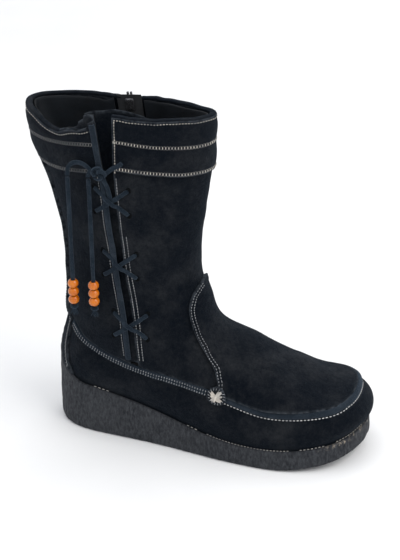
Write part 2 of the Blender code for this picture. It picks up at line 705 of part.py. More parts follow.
def make_shaft(suede):
    above, top = ROLL_WIDTH / 2 + 1.2, SHAFT_TOP - 1.5
    lateral, medial = (seam_point(a, side, above)[1] for a, side in ((67.0, 1), (42.0, -1)))
    low = front_low(slit_front(lateral), zip_front(medial), above, widen=1.15)
    panel("shaft_front", 0.0, {1: slit_front, -1: zip_front}, low, top, 15, -SUEDE, 0.0, suede)
    edge = slit_rear(seam_point(76.0, 1, above)[1])
    low = [seam_point(180.0 - c, 1, above + 1.0) for c in COLUMNS[::-1] if c < 180.0 - edge - 4.0]
    low = [seam_point(edge, 1, above), *low, (179.2, seam_point(179.2, 1, above + 1.0)[1])]
    panel("shaft_rear_lateral", 180.0, {-1: slit_rear}, low, top, 15, -SUEDE, 0.0, suede)
    angles = (180.8, 184, 188.5, 194, 200, 207, 215, 224, 235, 248, 263, 280, 296, zip_rear(31.0))
    low = [cup_point(a) for a in angles]
    panel("shaft_rear_medial", 180.0, {1: zip_rear}, low, top, 20, -SUEDE, 0.0, suede, cup=True)


def make_cuffs(suede):
    z = SHAFT_TOP - CUFF_HEIGHT
    start, end = slit_front(z), zip_front(z)
    angles = [start, *columns(start, 1, 0.0)[::-1], 0.0, *columns(end, -1, 0.0), end]
    low = [(a, z) for a in angles]
    panel("cuff_front", 0.0, {1: slit_front, -1: zip_front}, low, SHAFT_TOP, 4, OVERLAY, OVERLAY + 1.6, suede)
    start, end = slit_rear(z), zip_rear(z)
    angles = [start, *columns(start, -1, 180.0)[::-1], 180.0, *columns(end, 1, 180.0), end]
    low = [(a, z) for a in angles]
    panel("cuff_rear", 180.0, {-1: slit_rear, 1: zip_rear}, low, SHAFT_TOP, 4, OVERLAY, OVERLAY + 1.6, suede)


def make_backstay(suede):
    half = lambda z: float(np.interp(z, *zip(*BACKSTAY)))
    edges = {-1: lambda z: 180.0 - half(z), 1: lambda z: 180.0 + half(z)}
    above_tab = ((29.0, 52.4), (24.0, 56.6), (18.0, 63.0), (12.0, 70.6), (6.0, 77.2), (2.0, 81.4))
    low = [(180.0 - a, z) for a, z in above_tab] + [(180.0 + a, z) for a, z in above_tab[::-1]]
    inner = OVERLAY + 0.4
    top = SHAFT_TOP - CUFF_HEIGHT - 1.0
    panel("backstay", 180.0, edges, low, top, 17, inner, inner + SUEDE, suede, follow=1.0)


def make_gusset(suede):
    def place(f, g):
        z = 80.0 + (SHAFT_TOP - 4.0 - 80.0) * g
        low, high = s_at(SLIT_REAR, z) - 5.0, s_at(SLIT_FRONT, z) + 5.0
        return from_side(low + (high - low) * f, z, 1)

    sheet("slit_gusset", place, 14, 5, -SUEDE - OVERLAY - 1.0, -SUEDE - OVERLAY, suede)


def make_lining(cloth, counter):
    outer = -LINING_DEPTH
    above, top = ROLL_WIDTH / 2 + 3.2, SHAFT_TOP - 3.0
    clear = 13.0
    front = lambda z: zip_front(z, clear)
    rear = lambda z: zip_rear(z, clear)
    low = front_low(89.0, front(seam_point(42.0, -1, above)[1]), above, widen=1.15)
    panel("lining_front", 0.0, {-1: front}, low, top, 15, outer - LINING, outer, cloth)
    angles = (90.6, 105, 120, 134, 146, 156, 164, 171, 177, 183, 189, 196, 204, 214, 226, 240, 258, 278)
    low = [cup_point(a) for a in (*angles, rear(31.0))]
    panel("lining_rear", 180.0, {1: rear}, low, top, 20, outer - LINING, outer, cloth, cup=True)
    high = lambda t: 0.72
    limits = (lambda w: -0.2), (lambda w: 0.2)
    half = np.array([r for r in RING if r < 0.2] + [0.2])
    shares = (np.concatenate([-half[:0:-1], half]) + 0.2) / 0.4
    wall_sheet("heel_counter", *limits, 0.06, high, 8, shares, -SUEDE - 1.5, -SUEDE - 0.6, counter)


def seam_path(first, last, count):
    """Places on the moccasin seam between two ring positions, with the last's normals."""
    seam = WALL_RINGS[0]
    t = np.linspace(first, last, count)
    points = np.column_stack([np.interp((t % 2) * 240, WALL_NUMBERS, c) for c in seam.T])
    return [LAST.nearest(p) for p in points]


def seam_place(s, side):
    """Ring position of the seam at a distance from the heel's back."""
    seam = WALL_RINGS[0][:, 0]
    half = np.arange(241) if side > 0 else np.arange(480, 239, -1)
    return float(np.interp(s, seam[half], half / 240.0))


def make_rolls(suede):
    gap = 0.35 / 300.0
    lateral, medial = seam_place(ORNAMENT[0], 1), seam_place(ORNAMENT[0], -1)
    rear, zipped = seam_place(18.0, 1), seam_place(zip_s(67.0) + ZIP_HALF_OPENING, -1)
    profile = oval(ROLL_WIDTH, -1.2, 1.9)
    sweep("moc_roll", seam_path(lateral + gap, medial - gap, 45), profile, suede)
    flat = oval(ROLL_WIDTH, -1.2, 1.5)
    sweep("moc_strip_lateral", seam_path(rear, lateral - gap, 17), flat, suede)
    sweep("moc_strip_medial", seam_path(medial + gap, zipped, 7), flat, suede)


def make_ornaments(suede, cream, segments=14):
    for name, side in (("lateral", 1), ("medial", -1)):
        middle, normal = from_side(*ORNAMENT, side)
        ahead = np.cross(np.array([0.0, 0.0, 1.0]), normal)
        ahead /= np.linalg.norm(ahead)
        upward = np.cross(normal, ahead)
        turn = np.linspace(0, 2 * math.pi, segments, endpoint=False)
        wave = ORNAMENT_RADIUS * (1 + 0.06 * np.cos(3 * turn + 0.7))
        flat = np.cos(turn)[:, None] * ahead + np.sin(turn)[:, None] * upward
        base = middle + 2.7 * normal
        levels = ((0.9, 0), (1, 0.4), (1, 0.9), (0.9, 1.4))
        rings = [base + flat * wave[:, None] * k + h * normal for k, h in levels]
        rings_body(f"ornament_patch_{name}", np.array(rings), suede)
        arm = np.where(np.arange(16) % 4 == 0, 6.2, np.where(np.arange(16) % 2 == 0, 2.4, 3.6))
        turn = np.linspace(0, 2 * math.pi, 16, endpoint=False) + 0.5
        star = np.cos(turn)[:, None] * ahead * 0.95 + np.sin(turn)[:, None] * upward * 1.15
        base = middle + 4.5 * normal
        levels = ((0.92, 0), (1, 0.5), (0.9, 1.2), (0.4, 1.8))
        rings = [base + star * arm[:, None] * k + h * normal for k, h in levels]
        rings_body(f"ornament_knot_{name}", np.array(rings), cream)


# ---------------------------------------------------------------- laces
def make_crossings(lace):
    places = np.array([-1, -0.75, -0.5, -0.36, -0.27, -0.16, 0.16, 0.27, 0.36, 0.5, 0.75, 1])
    for number, (s, z) in enumerate(CROSSINGS, 1):
        for name, slope in (("under", 1), ("over", -1)):
            path = [from_side(s + k * CROSS_REACH[0], z + slope * k * CROSS_REACH[1], 1) for k in places]
            rise = (LACE_THICKNESS + 0.5) * smooth_step((0.4 - np.abs(places)) / 0.22)
            lift = rise if name == "over" else np.zeros(len(places))
            sweep(f"lace_{name}_{number}", path, band(LACE_WIDTH, 0.5, 0.5 + LACE_THICKNESS), lace, lift=lift)


def make_tie(lace):
    """The knot at the top of the slit, its short tail, the arch towards the rear end and the riser."""
    turn = np.linspace(0, 2 * math.pi, 12, endpoint=False)
    rings = []
    for q in (0.12, 0.35, 0.6, 0.85, 1.0, 1.15, 1.4, 1.65, 1.88):
        w = -math.cos(q * math.pi / 2)
        r = math.sqrt(max(1 - w * w, 0.0)) * (1 - 0.12 * math.cos(3 * w))
        round_it = [(44.3 + 3.1 * r * math.cos(a), 251.0 + 0.25 * w + 3.7 * r * math.sin(a)) for a in turn]
        rings.append([(57.0 + 5.6 * w, x, z) for x, z in round_it])
    rings_body("lace_knot", np.array(rings), lace)
    outward_side = (0.0, 1.0, 0.0)
    arch = [(50.4, 252.6), (46.5, 257.2), (40.5, 259.2), (35.0, 257.4), (31.8, 253.0), (31.0, 247.6)]
    profile = band(LACE_WIDTH, -LACE_THICKNESS / 2, LACE_THICKNESS / 2)
    sweep("lace_arch", [((s, LACE_PLANE, z), outward_side) for s, z in arch], profile, lace)
    tail = [(64.0, 44.4, 252.6), (68.0, 44.2, 256.0), (72.5, 44.6, 259.0), (77.0, 45.4, 262.5)]
    sweep("lace_tail", [(p, outward_side) for p in tail], profile, lace)
    riser = [from_side(s, z, 1) for s, z in ((59.5, 245.0), (61.0, 240.0), (62.5, 236.0), (63.2, 231.5))]
    sweep("lace_riser", riser, band(LACE_WIDTH, 0.9, 0.9 + LACE_THICKNESS), lace)


def bead_profile():
    """Half a barrel: a round outside and a straight bore."""
    half = BEAD_HEIGHT / 2
    shares = ((0.66, -1), (0.9, -0.66), (1, 0), (0.9, 0.66), (0.66, 1))
    outside = [(BEAD_RADIUS * across, half * up) for across, up in shares]
    return [*outside, (BEAD_BORE_RADIUS, half), (BEAD_BORE_RADIUS, -half)]


# Rings of the knot at the end of a strand: depth under the strand's end, half width, half thickness.
KNOT_RINGS = (
    (0, 1.8, 1.6), (1.2, 3.0, 2.6), (3.4, 3.2, 2.8),
    (4.8, 2.4, 1.8), (6.0, 2.8, 1.4), (9.0, 3.2, 1.3),
)


def make_lace_ends(lace, wood):
    for name, s in LACE_ENDS.items():
        pivot = (s, LACE_PLANE, LACE_END_TOP)
        bottom = LOWEST_BEAD - BEAD_HEIGHT / 2 - 0.4
        path = [((s, LACE_PLANE, z), (0.0, 1.0, 0.0)) for z in np.linspace(LACE_END_TOP - 0.3, bottom, 9)]
        profile = band(LACE_WIDTH, -LACE_THICKNESS / 2, LACE_THICKNESS / 2)
        strand = sweep(f"lace_end_{name}", path, profile, lace, pivot=pivot)
        turn = np.linspace(0, 2 * math.pi, 10, endpoint=False)
        knot = [
            [(s + wide * math.cos(q), LACE_PLANE + thick * math.sin(q), bottom - 0.4 - h) for q in turn]
            for h, wide, thick in KNOT_RINGS
        ]
        rings_body(f"lace_end_knot_{name}", np.array(knot), lace, pivot=pivot, parent=strand)
        for number in range(3):
            middle = (s, LACE_PLANE, LOWEST_BEAD + number * BEAD_PITCH)
            turned(f"bead_{name}_{number + 1}", bead_profile(), middle, wood, pivot=pivot, parent=strand)


# ---------------------------------------------------------------- zip
def zip_frame():
    """Top of the zip's centre line, its downward direction and its outward direction."""
    top, first = from_side(*ZIP_TOP, -1)
    ankle, second = from_side(*ZIP_ANKLE, -1)
    down = (ankle - top) / np.linalg.norm(ankle - top)
    normal = first + second
    normal -= (normal @ down) * down
    return top, down, normal / np.linalg.norm(normal)


def zip_path(from_top, lowest):
    """Places down the zip's centre line: straight to the ankle, then following the last to a height."""
    top, down, normal = zip_frame()
    length = (ZIP_TOP[1] - ZIP_ANKLE[1]) / -down[2]
    path = [(top + down * k, normal) for k in np.linspace(from_top, length, 5)]
    heights = [z for z in (141, 131, 122, 113, 104, 95, 86, 77, 69, 62, 55, 48, 42, 37, 32) if z > lowest]
    lower = [from_side(zip_s(z), z, -1) for z in (*heights, lowest)]
    blend = [smooth_step((ZIP_ANKLE[1] - q[2]) / 30.0) for q, _ in lower]
    lower = np.array([(*q, *((1 - b) * normal + b * n)) for b, (q, n) in zip(blend, lower)])
    for _ in range(4):
        lower[1:-1] = (lower[:-2] + 2 * lower[1:-1] + lower[2:]) / 4
    return path + [(row[:3], row[3:]) for row in lower]


def make_zip(cloth, coil, metal):
    for name, side in (("front", 1), ("rear", -1)):
        tape = [(side * a, b) for a, b in ((0.5, -3.2), (10.5, -3.5), (10.5, -2.9), (0.5, -2.6))]
        sweep(f"zip_tape_{name}", zip_path(0.5, 33.0), tape, cloth)
        row = [(side * a, b) for a, b in ((0.5, -2.2), (2.2, -2.2), (2.2, -0.9), (1.8, -0.5), (0.5, -0.5))]
        sweep(f"zip_coil_{name}", zip_path(2.0, 36.0), row, coil)
        stop = [(side * a, b) for a, b in ((0.45, -2.3), (2.5, -2.3), (2.5, -0.3), (0.45, -0.3))]
        top, down, normal = zip_frame()
        sweep(f"zip_top_stop_{name}", [(top - down * 0.9, normal), (top + down * 1.5, normal)], stop, metal)
    end = [from_side(zip_s(z), z, -1) for z in (35.4, 32.4)]
    sweep("zip_bottom_stop", end, [(-2.6, -2.3), (2.6, -2.3), (2.6, -0.2), (-2.6, -0.2)], metal)


def make_slider(metal):
    top, down, normal = zip_frame()
    place = top + down * 3.2
    half = [(0.2, -3.7), (3.6, -3.7), (3.6, -4.6)]
    right = [(3.6, -2.3), (2.7, -2.3), (2.7, -0.1), (0.2, -0.1), *half]
    left = [(-a, b) for a, b in right[::-1]]
    ribs = [(-3.6, 2.9), (-2.7, 2.9), (-2.7, 1.0), (2.7, 1.0), (2.7, 2.9), (3.6, 2.9)]
    profile = ribs + right + left
    path = [(place, normal), (place + down * 10.5, normal)]
    slider = sweep("zip_slider", path, profile, metal, pivot=place)
    across = np.cross(normal, down)
    pivot = place + down * 2.2 + normal * 2.3
    outline = [(-0.9 * math.cos(q), 0.9 * math.sin(q)) for q in np.linspace(-1.1, 1.1, 6)]
    outline += [(4.0, 0.5), (16.0, 0.5), (18.0, 0.9), (24.0, 0.9), (24.0, -0.5), (4.0, -0.5)]
    rings = [[pivot + down * a + normal * b + across * c for a, b in outline] for c in (-2.2, -2.0, 2.0, 2.2)]
    rings_body("zip_pull", np.array(rings), metal, pivot=pivot, parent=slider)


# ---------------------------------------------------------------- assembly
def clear_scene():
    for item in list(bpy.data.objects):
        bpy.data.objects.remove(item, do_unlink=True)


def main():
    clear_scene()
    suede = make_material("suede_black", (0.014, 0.017, 0.021), 0.95)
    lace = make_material("lace_suede", (0.022, 0.028, 0.036), 0.9)
    rubber = make_material("sole_rubber", (0.062, 0.064, 0.071), 0.8)
    cloth = make_material("lining_black", (0.010, 0.011, 0.013), 0.7)
    board = make_material("insole_board", (0.42, 0.31, 0.19), 0.9)
    foam = make_material("footbed_grey", (0.05, 0.05, 0.055), 0.85)
    cream = make_material("ornament_cream", (0.76, 0.66, 0.56), 0.8)
    wood = make_material("bead_orange", (0.80, 0.20, 0.025), 0.35)
    coil = make_material("zip_coil_black", (0.012, 0.012, 0.014), 0.4)
    metal = make_material("zip_metal_dark", (0.12, 0.12, 0.13), 0.35, 0.9)
    make_outsole(rubber)
    make_boards(board, foam)
    make_vamp(suede)
    make_plug(suede)
    make_shaft(suede)
    make_cuffs(suede)
    make_backstay(suede)
    make_gusset(suede)
    make_lining(cloth, board)
    make_rolls(suede)
    make_ornaments(suede, cream)
    make_crossings(lace)
    make_tie(lace)
    make_lace_ends(lace, wood)
    make_zip(cloth, coil, metal)
    make_slider(metal)


main()
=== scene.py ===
"""The looks of the moccasin boot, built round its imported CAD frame.

Lengths in the working coordinates (s, x, z) are millimetres:
s runs from the heel's back towards the toe, x is positive on the lateral side and z is the height.
Each sheet of suede is laid on the same invisible last as the CAD part, but finer, slightly slack and
with rounded edges; stitches, laces, zip teeth and the crinkled crepe are real geometry on top of it.
"""

import json
import math

import bmesh
import bpy
import numpy as np
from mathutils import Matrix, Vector, noise
from mathutils.bvhtree import BVHTree
from mathutils.interpolate import poly_3d_calc

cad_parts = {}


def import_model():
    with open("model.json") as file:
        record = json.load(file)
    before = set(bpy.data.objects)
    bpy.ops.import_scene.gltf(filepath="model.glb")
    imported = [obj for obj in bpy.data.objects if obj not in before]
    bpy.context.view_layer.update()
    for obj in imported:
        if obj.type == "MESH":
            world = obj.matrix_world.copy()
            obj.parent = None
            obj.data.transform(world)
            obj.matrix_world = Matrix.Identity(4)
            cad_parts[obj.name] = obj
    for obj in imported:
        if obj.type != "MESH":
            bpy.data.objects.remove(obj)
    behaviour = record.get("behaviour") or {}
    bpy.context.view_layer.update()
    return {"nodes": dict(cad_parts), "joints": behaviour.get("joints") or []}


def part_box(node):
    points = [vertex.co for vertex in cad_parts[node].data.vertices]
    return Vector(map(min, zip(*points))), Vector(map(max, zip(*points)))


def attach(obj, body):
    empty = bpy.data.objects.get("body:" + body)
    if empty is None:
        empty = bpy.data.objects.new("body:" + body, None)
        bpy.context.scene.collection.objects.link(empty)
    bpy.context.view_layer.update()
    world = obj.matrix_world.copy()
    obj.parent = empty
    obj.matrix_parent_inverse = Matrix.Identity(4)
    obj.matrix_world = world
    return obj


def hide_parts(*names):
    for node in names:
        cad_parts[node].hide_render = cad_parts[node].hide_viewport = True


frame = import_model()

MM = 0.001
FINE = 1

# ---------------------------------------------------------------- sizes, mm
SOLE_LOW, SOLE_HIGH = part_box("outsole")
SOLE_BACK = SOLE_HIGH.y
SOLE_LENGTH = (SOLE_HIGH.y - SOLE_LOW.y) / MM
CUFF_LOW, SHAFT_TOP = (corner.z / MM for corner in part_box("cuff_front"))
SUEDE = 1.4  # thickness of a sheet
GAP = 0.6  # between the wall and the sole's lip
OVERLAY = 1.0  # distance from the last at which a second layer lies
LIP = 3.0  # how far the sole stands out under the wall
CUP_DEPTH = 6.0  # how deep the wall stands in the sole
TOE_SPRING = 13.0
SIDE_BULGE = 3.4
HEEL_BULGE = 3.0
TOE_BULGE = 9.0
HEEL_TAB_HEIGHT = 29.0
SHAFT_AXIS_S = 66.0
LACE_WIDTH = 3.5
LACE_THICKNESS = 1.5
ZIP_HALF_OPENING = 7.0
ROLL_WIDTH = 4.4
# The strip up the heel's back: height, and half of the angle it spans round the shaft's axis there.
BACKSTAY = ((47.0, 29.5), (60.0, 24.0), (75.0, 17.5), (90.0, 12.0), (104.0, 9.0), (300.0, 8.0))

# Rows of the last from the toe to the cuff. Each is an arc that starts on the front ridge and wraps
# backwards: ridge (s, z), end of the arc projected on the centre plane (s, z), wrap angle in degrees,
# half width on the lateral side and on the medial side. The ends of the open rows draw the moccasin seam.
LAST_ROWS = (
    (262.0, 56.0, 254.0, 54.5, 70.0, 30.0, 30.0),
    (250.5, 59.0, 246.0, 52.5, 72.0, 37.5, 36.0),
    (234.0, 63.6, 230.0, 50.5, 74.0, 43.5, 41.0),
    (214.0, 70.0, 209.0, 49.5, 77.0, 47.5, 43.5),
    (194.0, 77.5, 185.0, 51.0, 81.0, 48.0, 43.0),
    (176.5, 86.0, 159.0, 57.5, 87.0, 45.5, 40.5),
    (161.5, 94.3, 129.0, 63.2, 97.0, 42.0, 38.0),
    (149.0, 103.5, 97.0, 67.6, 107.0, 39.5, 36.5),
    (140.2, 115.5, 66.0, 73.6, 117.0, 38.0, 35.5),
    (134.8, 129.0, 40.0, 82.5, 131.0, 37.0, 35.2),
    (131.3, 138.0, 24.0, 91.5, 146.0, 36.5, 35.0),
    (129.3, 145.0, 13.0, 101.5, 180.0, 36.0, 35.0),
    (127.2, 156.0, 13.3, 125.0, 180.0, 35.6, 34.8),
    (127.2, 172.0, 12.3, 152.0, 180.0, 35.8, 34.5),
    (129.4, 193.0, 9.6, 184.0, 180.0, 36.3, 33.6),
    (133.6, 222.0, 3.5, 220.0, 180.0, 36.5, 31.8),
    (137.5, 249.0, -6.7, 249.0, 180.0, 36.4, 29.0),
    (139.0, 274.0, -12.2, 274.0, 180.0, 36.2, 27.0),
    (140.6, 300.0, -14.8, 300.0, 180.0, 36.0, 25.0),
)
HEEL_ROW = 11  # the row whose two ends meet at the top of the heel

# Plan outline of the sole: distance from the heel's back, lateral half width, medial half width.
SOLE_PLAN = (
    (7.0, 17.0, 17.0),
    (20.0, 27.0, 26.0),
    (42.0, 33.0, 31.0),
    (75.0, 37.0, 33.0),
    (110.0, 42.5, 35.0),
    (145.0, 49.5, 40.0),
    (180.0, 54.5, 45.5),
    (205.0, 55.5, 48.0),
    (228.0, 51.8, 47.0),
    (248.0, 43.3, 41.5),
    (262.0, 29.5, 30.0),
    (269.5, 14.5, 15.5),
)
# Height of the sole's side line: distance from the heel's back, height.
SOLE_SIDE_LINE = (
    (0.0, 47.5),
    (23.0, 46.0),
    (66.0, 40.0),
    (109.0, 30.0),
    (144.0, 21.5),
    (175.0, 18.0),
    (208.0, 19.0),
    (249.0, 25.0),
    (272.0, 30.5),
)
# Edges of the lace slit on the lateral side and the zip's centre line on the medial side: (s, z).
SLIT_FRONT = ((82.0, 74.0), (79.0, 112.0), (72.0, 167.0), (68.0, 225.0), (66.5, 249.0), (67.5, 300.0))
SLIT_REAR = ((75.0, 76.0), (72.5, 112.0), (65.3, 167.0), (60.0, 225.0), (57.5, 249.0), (51.0, 300.0))
ZIP_TOP = (62.8, 293.0)
ZIP_ANKLE = (76.5, 152.0)  # the zip is straight from its top down to here
ZIP_LOWER = ((82.0, 124.0), (91.0, 92.0), (100.0, 64.0), (107.5, 46.0), (114.5, 31.0))
# Edge of the plug's tongue from the ornament up to the middle of the ankle, on the last's own grid:
# share of the wrap, row number.
TONGUE_EDGE = (
    (1.0, 5.2),
    (0.8, 5.5),
    (0.63, 5.92),
    (0.45, 7.0),
    (0.35, 8.1),
    (0.28, 9.2),
    (0.19, 10.2),
    (0.09, 10.9),
    (0.0, 11.2),
)
# Lower edge of the shaft's front panel, hidden under the tongue: angle from straight ahead, height.
UNDER_TONGUE = (
    *((0.0, 138.0), (8.0, 135.0), (14.0, 128.0), (17.5, 117.0)),
    *((19.5, 102.0), (21.5, 84.0), (24.5, 64.5)),
)
ORNAMENT = (152.0, 60.5)
# Lace crossings on the slit, (s, z) of each centre, and the reach of their arms.
CROSSINGS = ((76.0, 112.0), (68.5, 167.0), (64.0, 224.0))
CROSS_REACH = (15.0, 11.4)
LACE_PLANE = 44.5


# ---------------------------------------------------------------- curves
def spline(knots, values, at):
    """Natural cubic spline through (knots, values), evaluated at each number of at."""
    k, y, at = (np.asarray(a, float) for a in (knots, values, at))
    h = np.diff(k)
    n = len(k)
    matrix, right = np.eye(n), np.zeros(n)
    for i in range(1, n - 1):
        matrix[i, i - 1 : i + 2] = h[i - 1], 2 * (h[i - 1] + h[i]), h[i]
        right[i] = 6 * ((y[i + 1] - y[i]) / h[i] - (y[i] - y[i - 1]) / h[i - 1])
    m = np.linalg.solve(matrix, right)
    i = np.clip(np.searchsorted(k, at) - 1, 0, n - 2)
    a, b, w = k[i + 1] - at, at - k[i], h[i]
    bend = m[i] * a**3 + m[i + 1] * b**3
    return bend / (6 * w) + (y[i] / w - m[i] * w / 6) * a + (y[i + 1] / w - m[i + 1] * w / 6) * b


def smooth_step(t):
    t = np.clip(t, 0.0, 1.0)
    return t * t * (3 - 2 * t)


def along(points, count):
    """count points evenly spaced along a polyline."""
    points = np.asarray(points, float)
    length = np.concatenate([[0], np.cumsum(np.linalg.norm(np.diff(points, axis=0), axis=1))])
    at = np.linspace(0, length[-1], count)
    return np.column_stack([np.interp(at, length, c) for c in points.T])


def s_at(line, z):
    """s of a side-view line, given as (s, z) pairs of rising z, at the height z."""
    s, heights = zip(*sorted(line, key=lambda p: p[1]))
    return float(np.interp(z, heights, s))


# ---------------------------------------------------------------- the last
ROW_TABLE = np.array(LAST_ROWS)
ROW_NUMBERS = np.arange(len(LAST_ROWS))


def last_point(u, v):
    """Point (s, x, z) of the last: v is the row number, u runs from -1 (medial end) to 1 (lateral end)."""
    u, v = np.asarray(u, float), np.asarray(v, float)
    ridge_s, ridge_z, end_s, end_z, wrap, lateral, medial = (spline(ROW_NUMBERS, c, v) for c in ROW_TABLE.T)
    wrap = np.radians(np.where(v >= HEEL_ROW, 180.0, np.minimum(wrap, 180.0)))
    angle = np.abs(u) * wrap
    reach = (1 - np.cos(angle)) / (1 - np.cos(wrap))
    half = np.where(u > 0, lateral, medial)
    x = np.sign(u) * half * np.sin(angle)
    return np.stack([ridge_s + (end_s - ridge_s) * reach, x, ridge_z + (end_z - ridge_z) * reach], axis=-1)


def seam_line(count):
    """The moccasin seam as a closed ring from the heel, along the lateral side, round the toe and back."""
    side = np.linspace(HEEL_ROW, 0, 120)
    toe = np.linspace(1, -1, 41)[1:-1]
    lateral, medial = (last_point(np.full(120, u), side) for u in (1.0, -1.0))
    front = last_point(toe, np.zeros(len(toe)))
    half = (len(front) - 1) // 2
    outer = along(np.vstack([lateral, front[: half + 1]]), count + 1)
    inner = along(np.vstack([front[half:], medial[::-1]]), count + 1)
    return np.vstack([outer, inner[1:-1]])


def sole_outline(count, inset=0.0):
    """Plan outline (s, x), as many points and in the same order as seam_line."""
    plan = np.array(SOLE_PLAN)
    ring = [(0.0, 0.0), *plan[:, :2], (SOLE_LENGTH, 0.0), *(plan[::-1, [0, 2]] * (1, -1)), (0.0, 0.0)]
    ring = np.array(ring)
    wrapped = np.vstack([ring[-4:-1], ring, ring[1:4]])
    length = np.concatenate([[0], np.cumsum(np.linalg.norm(np.diff(wrapped, axis=0), axis=1))])
    start, middle, end = length[3], length[3 + len(SOLE_PLAN) + 1], length[-4]
    fine = np.concatenate([np.linspace(start, middle, 400), np.linspace(middle, end, 400)[1:]])
    dense = np.column_stack([spline(length, c, fine) for c in wrapped.T])
    tangent = np.gradient(dense, axis=0)
    tangent /= np.linalg.norm(tangent, axis=1)[:, None]
    dense = dense + inset * np.column_stack([tangent[:, 1], -tangent[:, 0]])
    outer, inner = along(dense[:400], count + 1), along(dense[399:], count + 1)
    return np.vstack([outer, inner[1:-1]])


def side_line(s):
    knots, heights = zip(*SOLE_SIDE_LINE)
    return spline(knots, heights, np.clip(s, 0, SOLE_LENGTH))


def wall_point(t, w, count=240):
    """Point of the foot's side wall: t counts round the ring, 0 at the heel, 1 at the toe, 2 at the heel
    again; w climbs from the sole's cup (0) to the moccasin seam (1)."""
    t, w = np.asarray(t, float) % 2.0, np.asarray(w, float)
    top, base, normal = ([np.interp(t * count, WALL_NUMBERS, c) for c in ring.T] for ring in WALL_RINGS)
    z = base[2] + (top[2] - base[2]) * w
    free = (CUP_DEPTH + 1.0) / (top[2] - base[2])
    climb = np.clip((w - free) / (1 - free), 0, 1)
    bulge = SIDE_BULGE + (TOE_BULGE - SIDE_BULGE) * np.exp(-(((SOLE_LENGTH - base[0]) / 24.0) ** 2))
    bulge = bulge - (SIDE_BULGE - HEEL_BULGE) * np.exp(-((base[0] / 40.0) ** 2))
    bulge = bulge * np.sin(np.pi * climb**0.85)
    s = base[0] + (top[0] - base[0]) * climb + bulge * normal[0]
    x = base[1] + (top[1] - base[1]) * climb + bulge * normal[1]
    return np.stack([s, x, z], axis=-1)


def plan_normal(ring):
    """Unit normal in plan, pointing out, at each point of a ring whose last point repeats the first."""
    step = np.roll(ring[:-1], -1, axis=0) - np.roll(ring[:-1], 1, axis=0)
    step = np.vstack([step, step[:1]])[:, :2]
    step /= np.linalg.norm(step, axis=1)[:, None]
    return np.column_stack([-step[:, 1], step[:, 0]])


def make_wall_rings(count=240):
    """The wall's upper ring, its lower ring and its outward directions in plan, each closed on itself."""
    foot = sole_outline(count, inset=LIP + GAP)
    height = side_line(foot[:, 0]) - CUP_DEPTH
    upper, lower = (np.vstack([r, r[:1]]) for r in (seam_line(count), np.column_stack([foot, height])))
    return upper, lower, plan_normal(lower)


WALL_NUMBERS = np.arange(481)
WALL_RINGS = make_wall_rings()


def grid_faces(rows, columns):
    """Quads of a rows x columns grid of points numbered row by row."""
    cell = np.arange(rows * columns).reshape(rows, columns)
    a, b, c, d = cell[:-1, :-1], cell[:-1, 1:], cell[1:, 1:], cell[1:, :-1]
    return np.stack([a, b, c, d], axis=-1).reshape(-1, 4)


def outward(points):
    """Rough outward direction at points of the last."""
    s, x, z = points.T
    leg = (z > 110.0) | (s < SHAFT_AXIS_S)
    ds = np.where(leg, s - SHAFT_AXIS_S, s - np.clip(s, 0, 215.0))
    return np.column_stack([ds, x, np.where(leg, 0.0, z - 40.0)])


def zip_s(z):
    """s of the zip's centre line at a height."""
    if z >= ZIP_ANKLE[1]:
        return s_at((ZIP_TOP, ZIP_ANKLE), z)
    middle = ((ZIP_TOP[0] + 3 * ZIP_ANKLE[0]) / 4, (ZIP_TOP[1] + 3 * ZIP_ANKLE[1]) / 4)
    s, heights = zip(*sorted((middle, ZIP_ANKLE, *ZIP_LOWER), key=lambda p: p[1]))
    return float(spline(heights, s, [z])[0])


SIDE_TABLE = [float(z) for z in side_line(np.arange(int(SOLE_LENGTH) + 1))]
ZIP_TABLE = [zip_s(max(z, 31)) for z in range(301)]


def slack(point):
    """How far the soft suede stands off the last: low waves, none in the sole's cup and beside the zip."""
    s, x, z = point
    free = (z - SIDE_TABLE[int(min(max(s, 0), SOLE_LENGTH - 1))] - 6.0) / 16.0
    if x < 0:
        free = min(free, (abs(s - ZIP_TABLE[int(min(max(z, 0), 300))]) - 15.0) / 14.0)
    if free <= 0:
        return 0.0
    free = min(free, 1.0)
    place = Vector((s, x, 0.8 * z))
    wave = 1.7 * noise.noise(place / 31.0) + 0.55 * noise.noise(place / 13.0)
    wave += 0.15 * noise.noise(place / 5.0)
    wave -= 4.6 * math.exp(-(((s - 154.0) / 17.0) ** 2) - ((z - 106.0) / 17.0) ** 2)
    wave -= 2.8 * math.exp(-(((z - 178.0) / 24.0) ** 2) - (max(s - 20.0, 0.0) / 18.0) ** 2)
    wave -= 2.0 * math.exp(-(((s - 238.0) / 24.0) ** 2) - (min(z - 62.0, 0.0) / 8.0) ** 2)
    return wave * free * free * (3 - 2 * free)


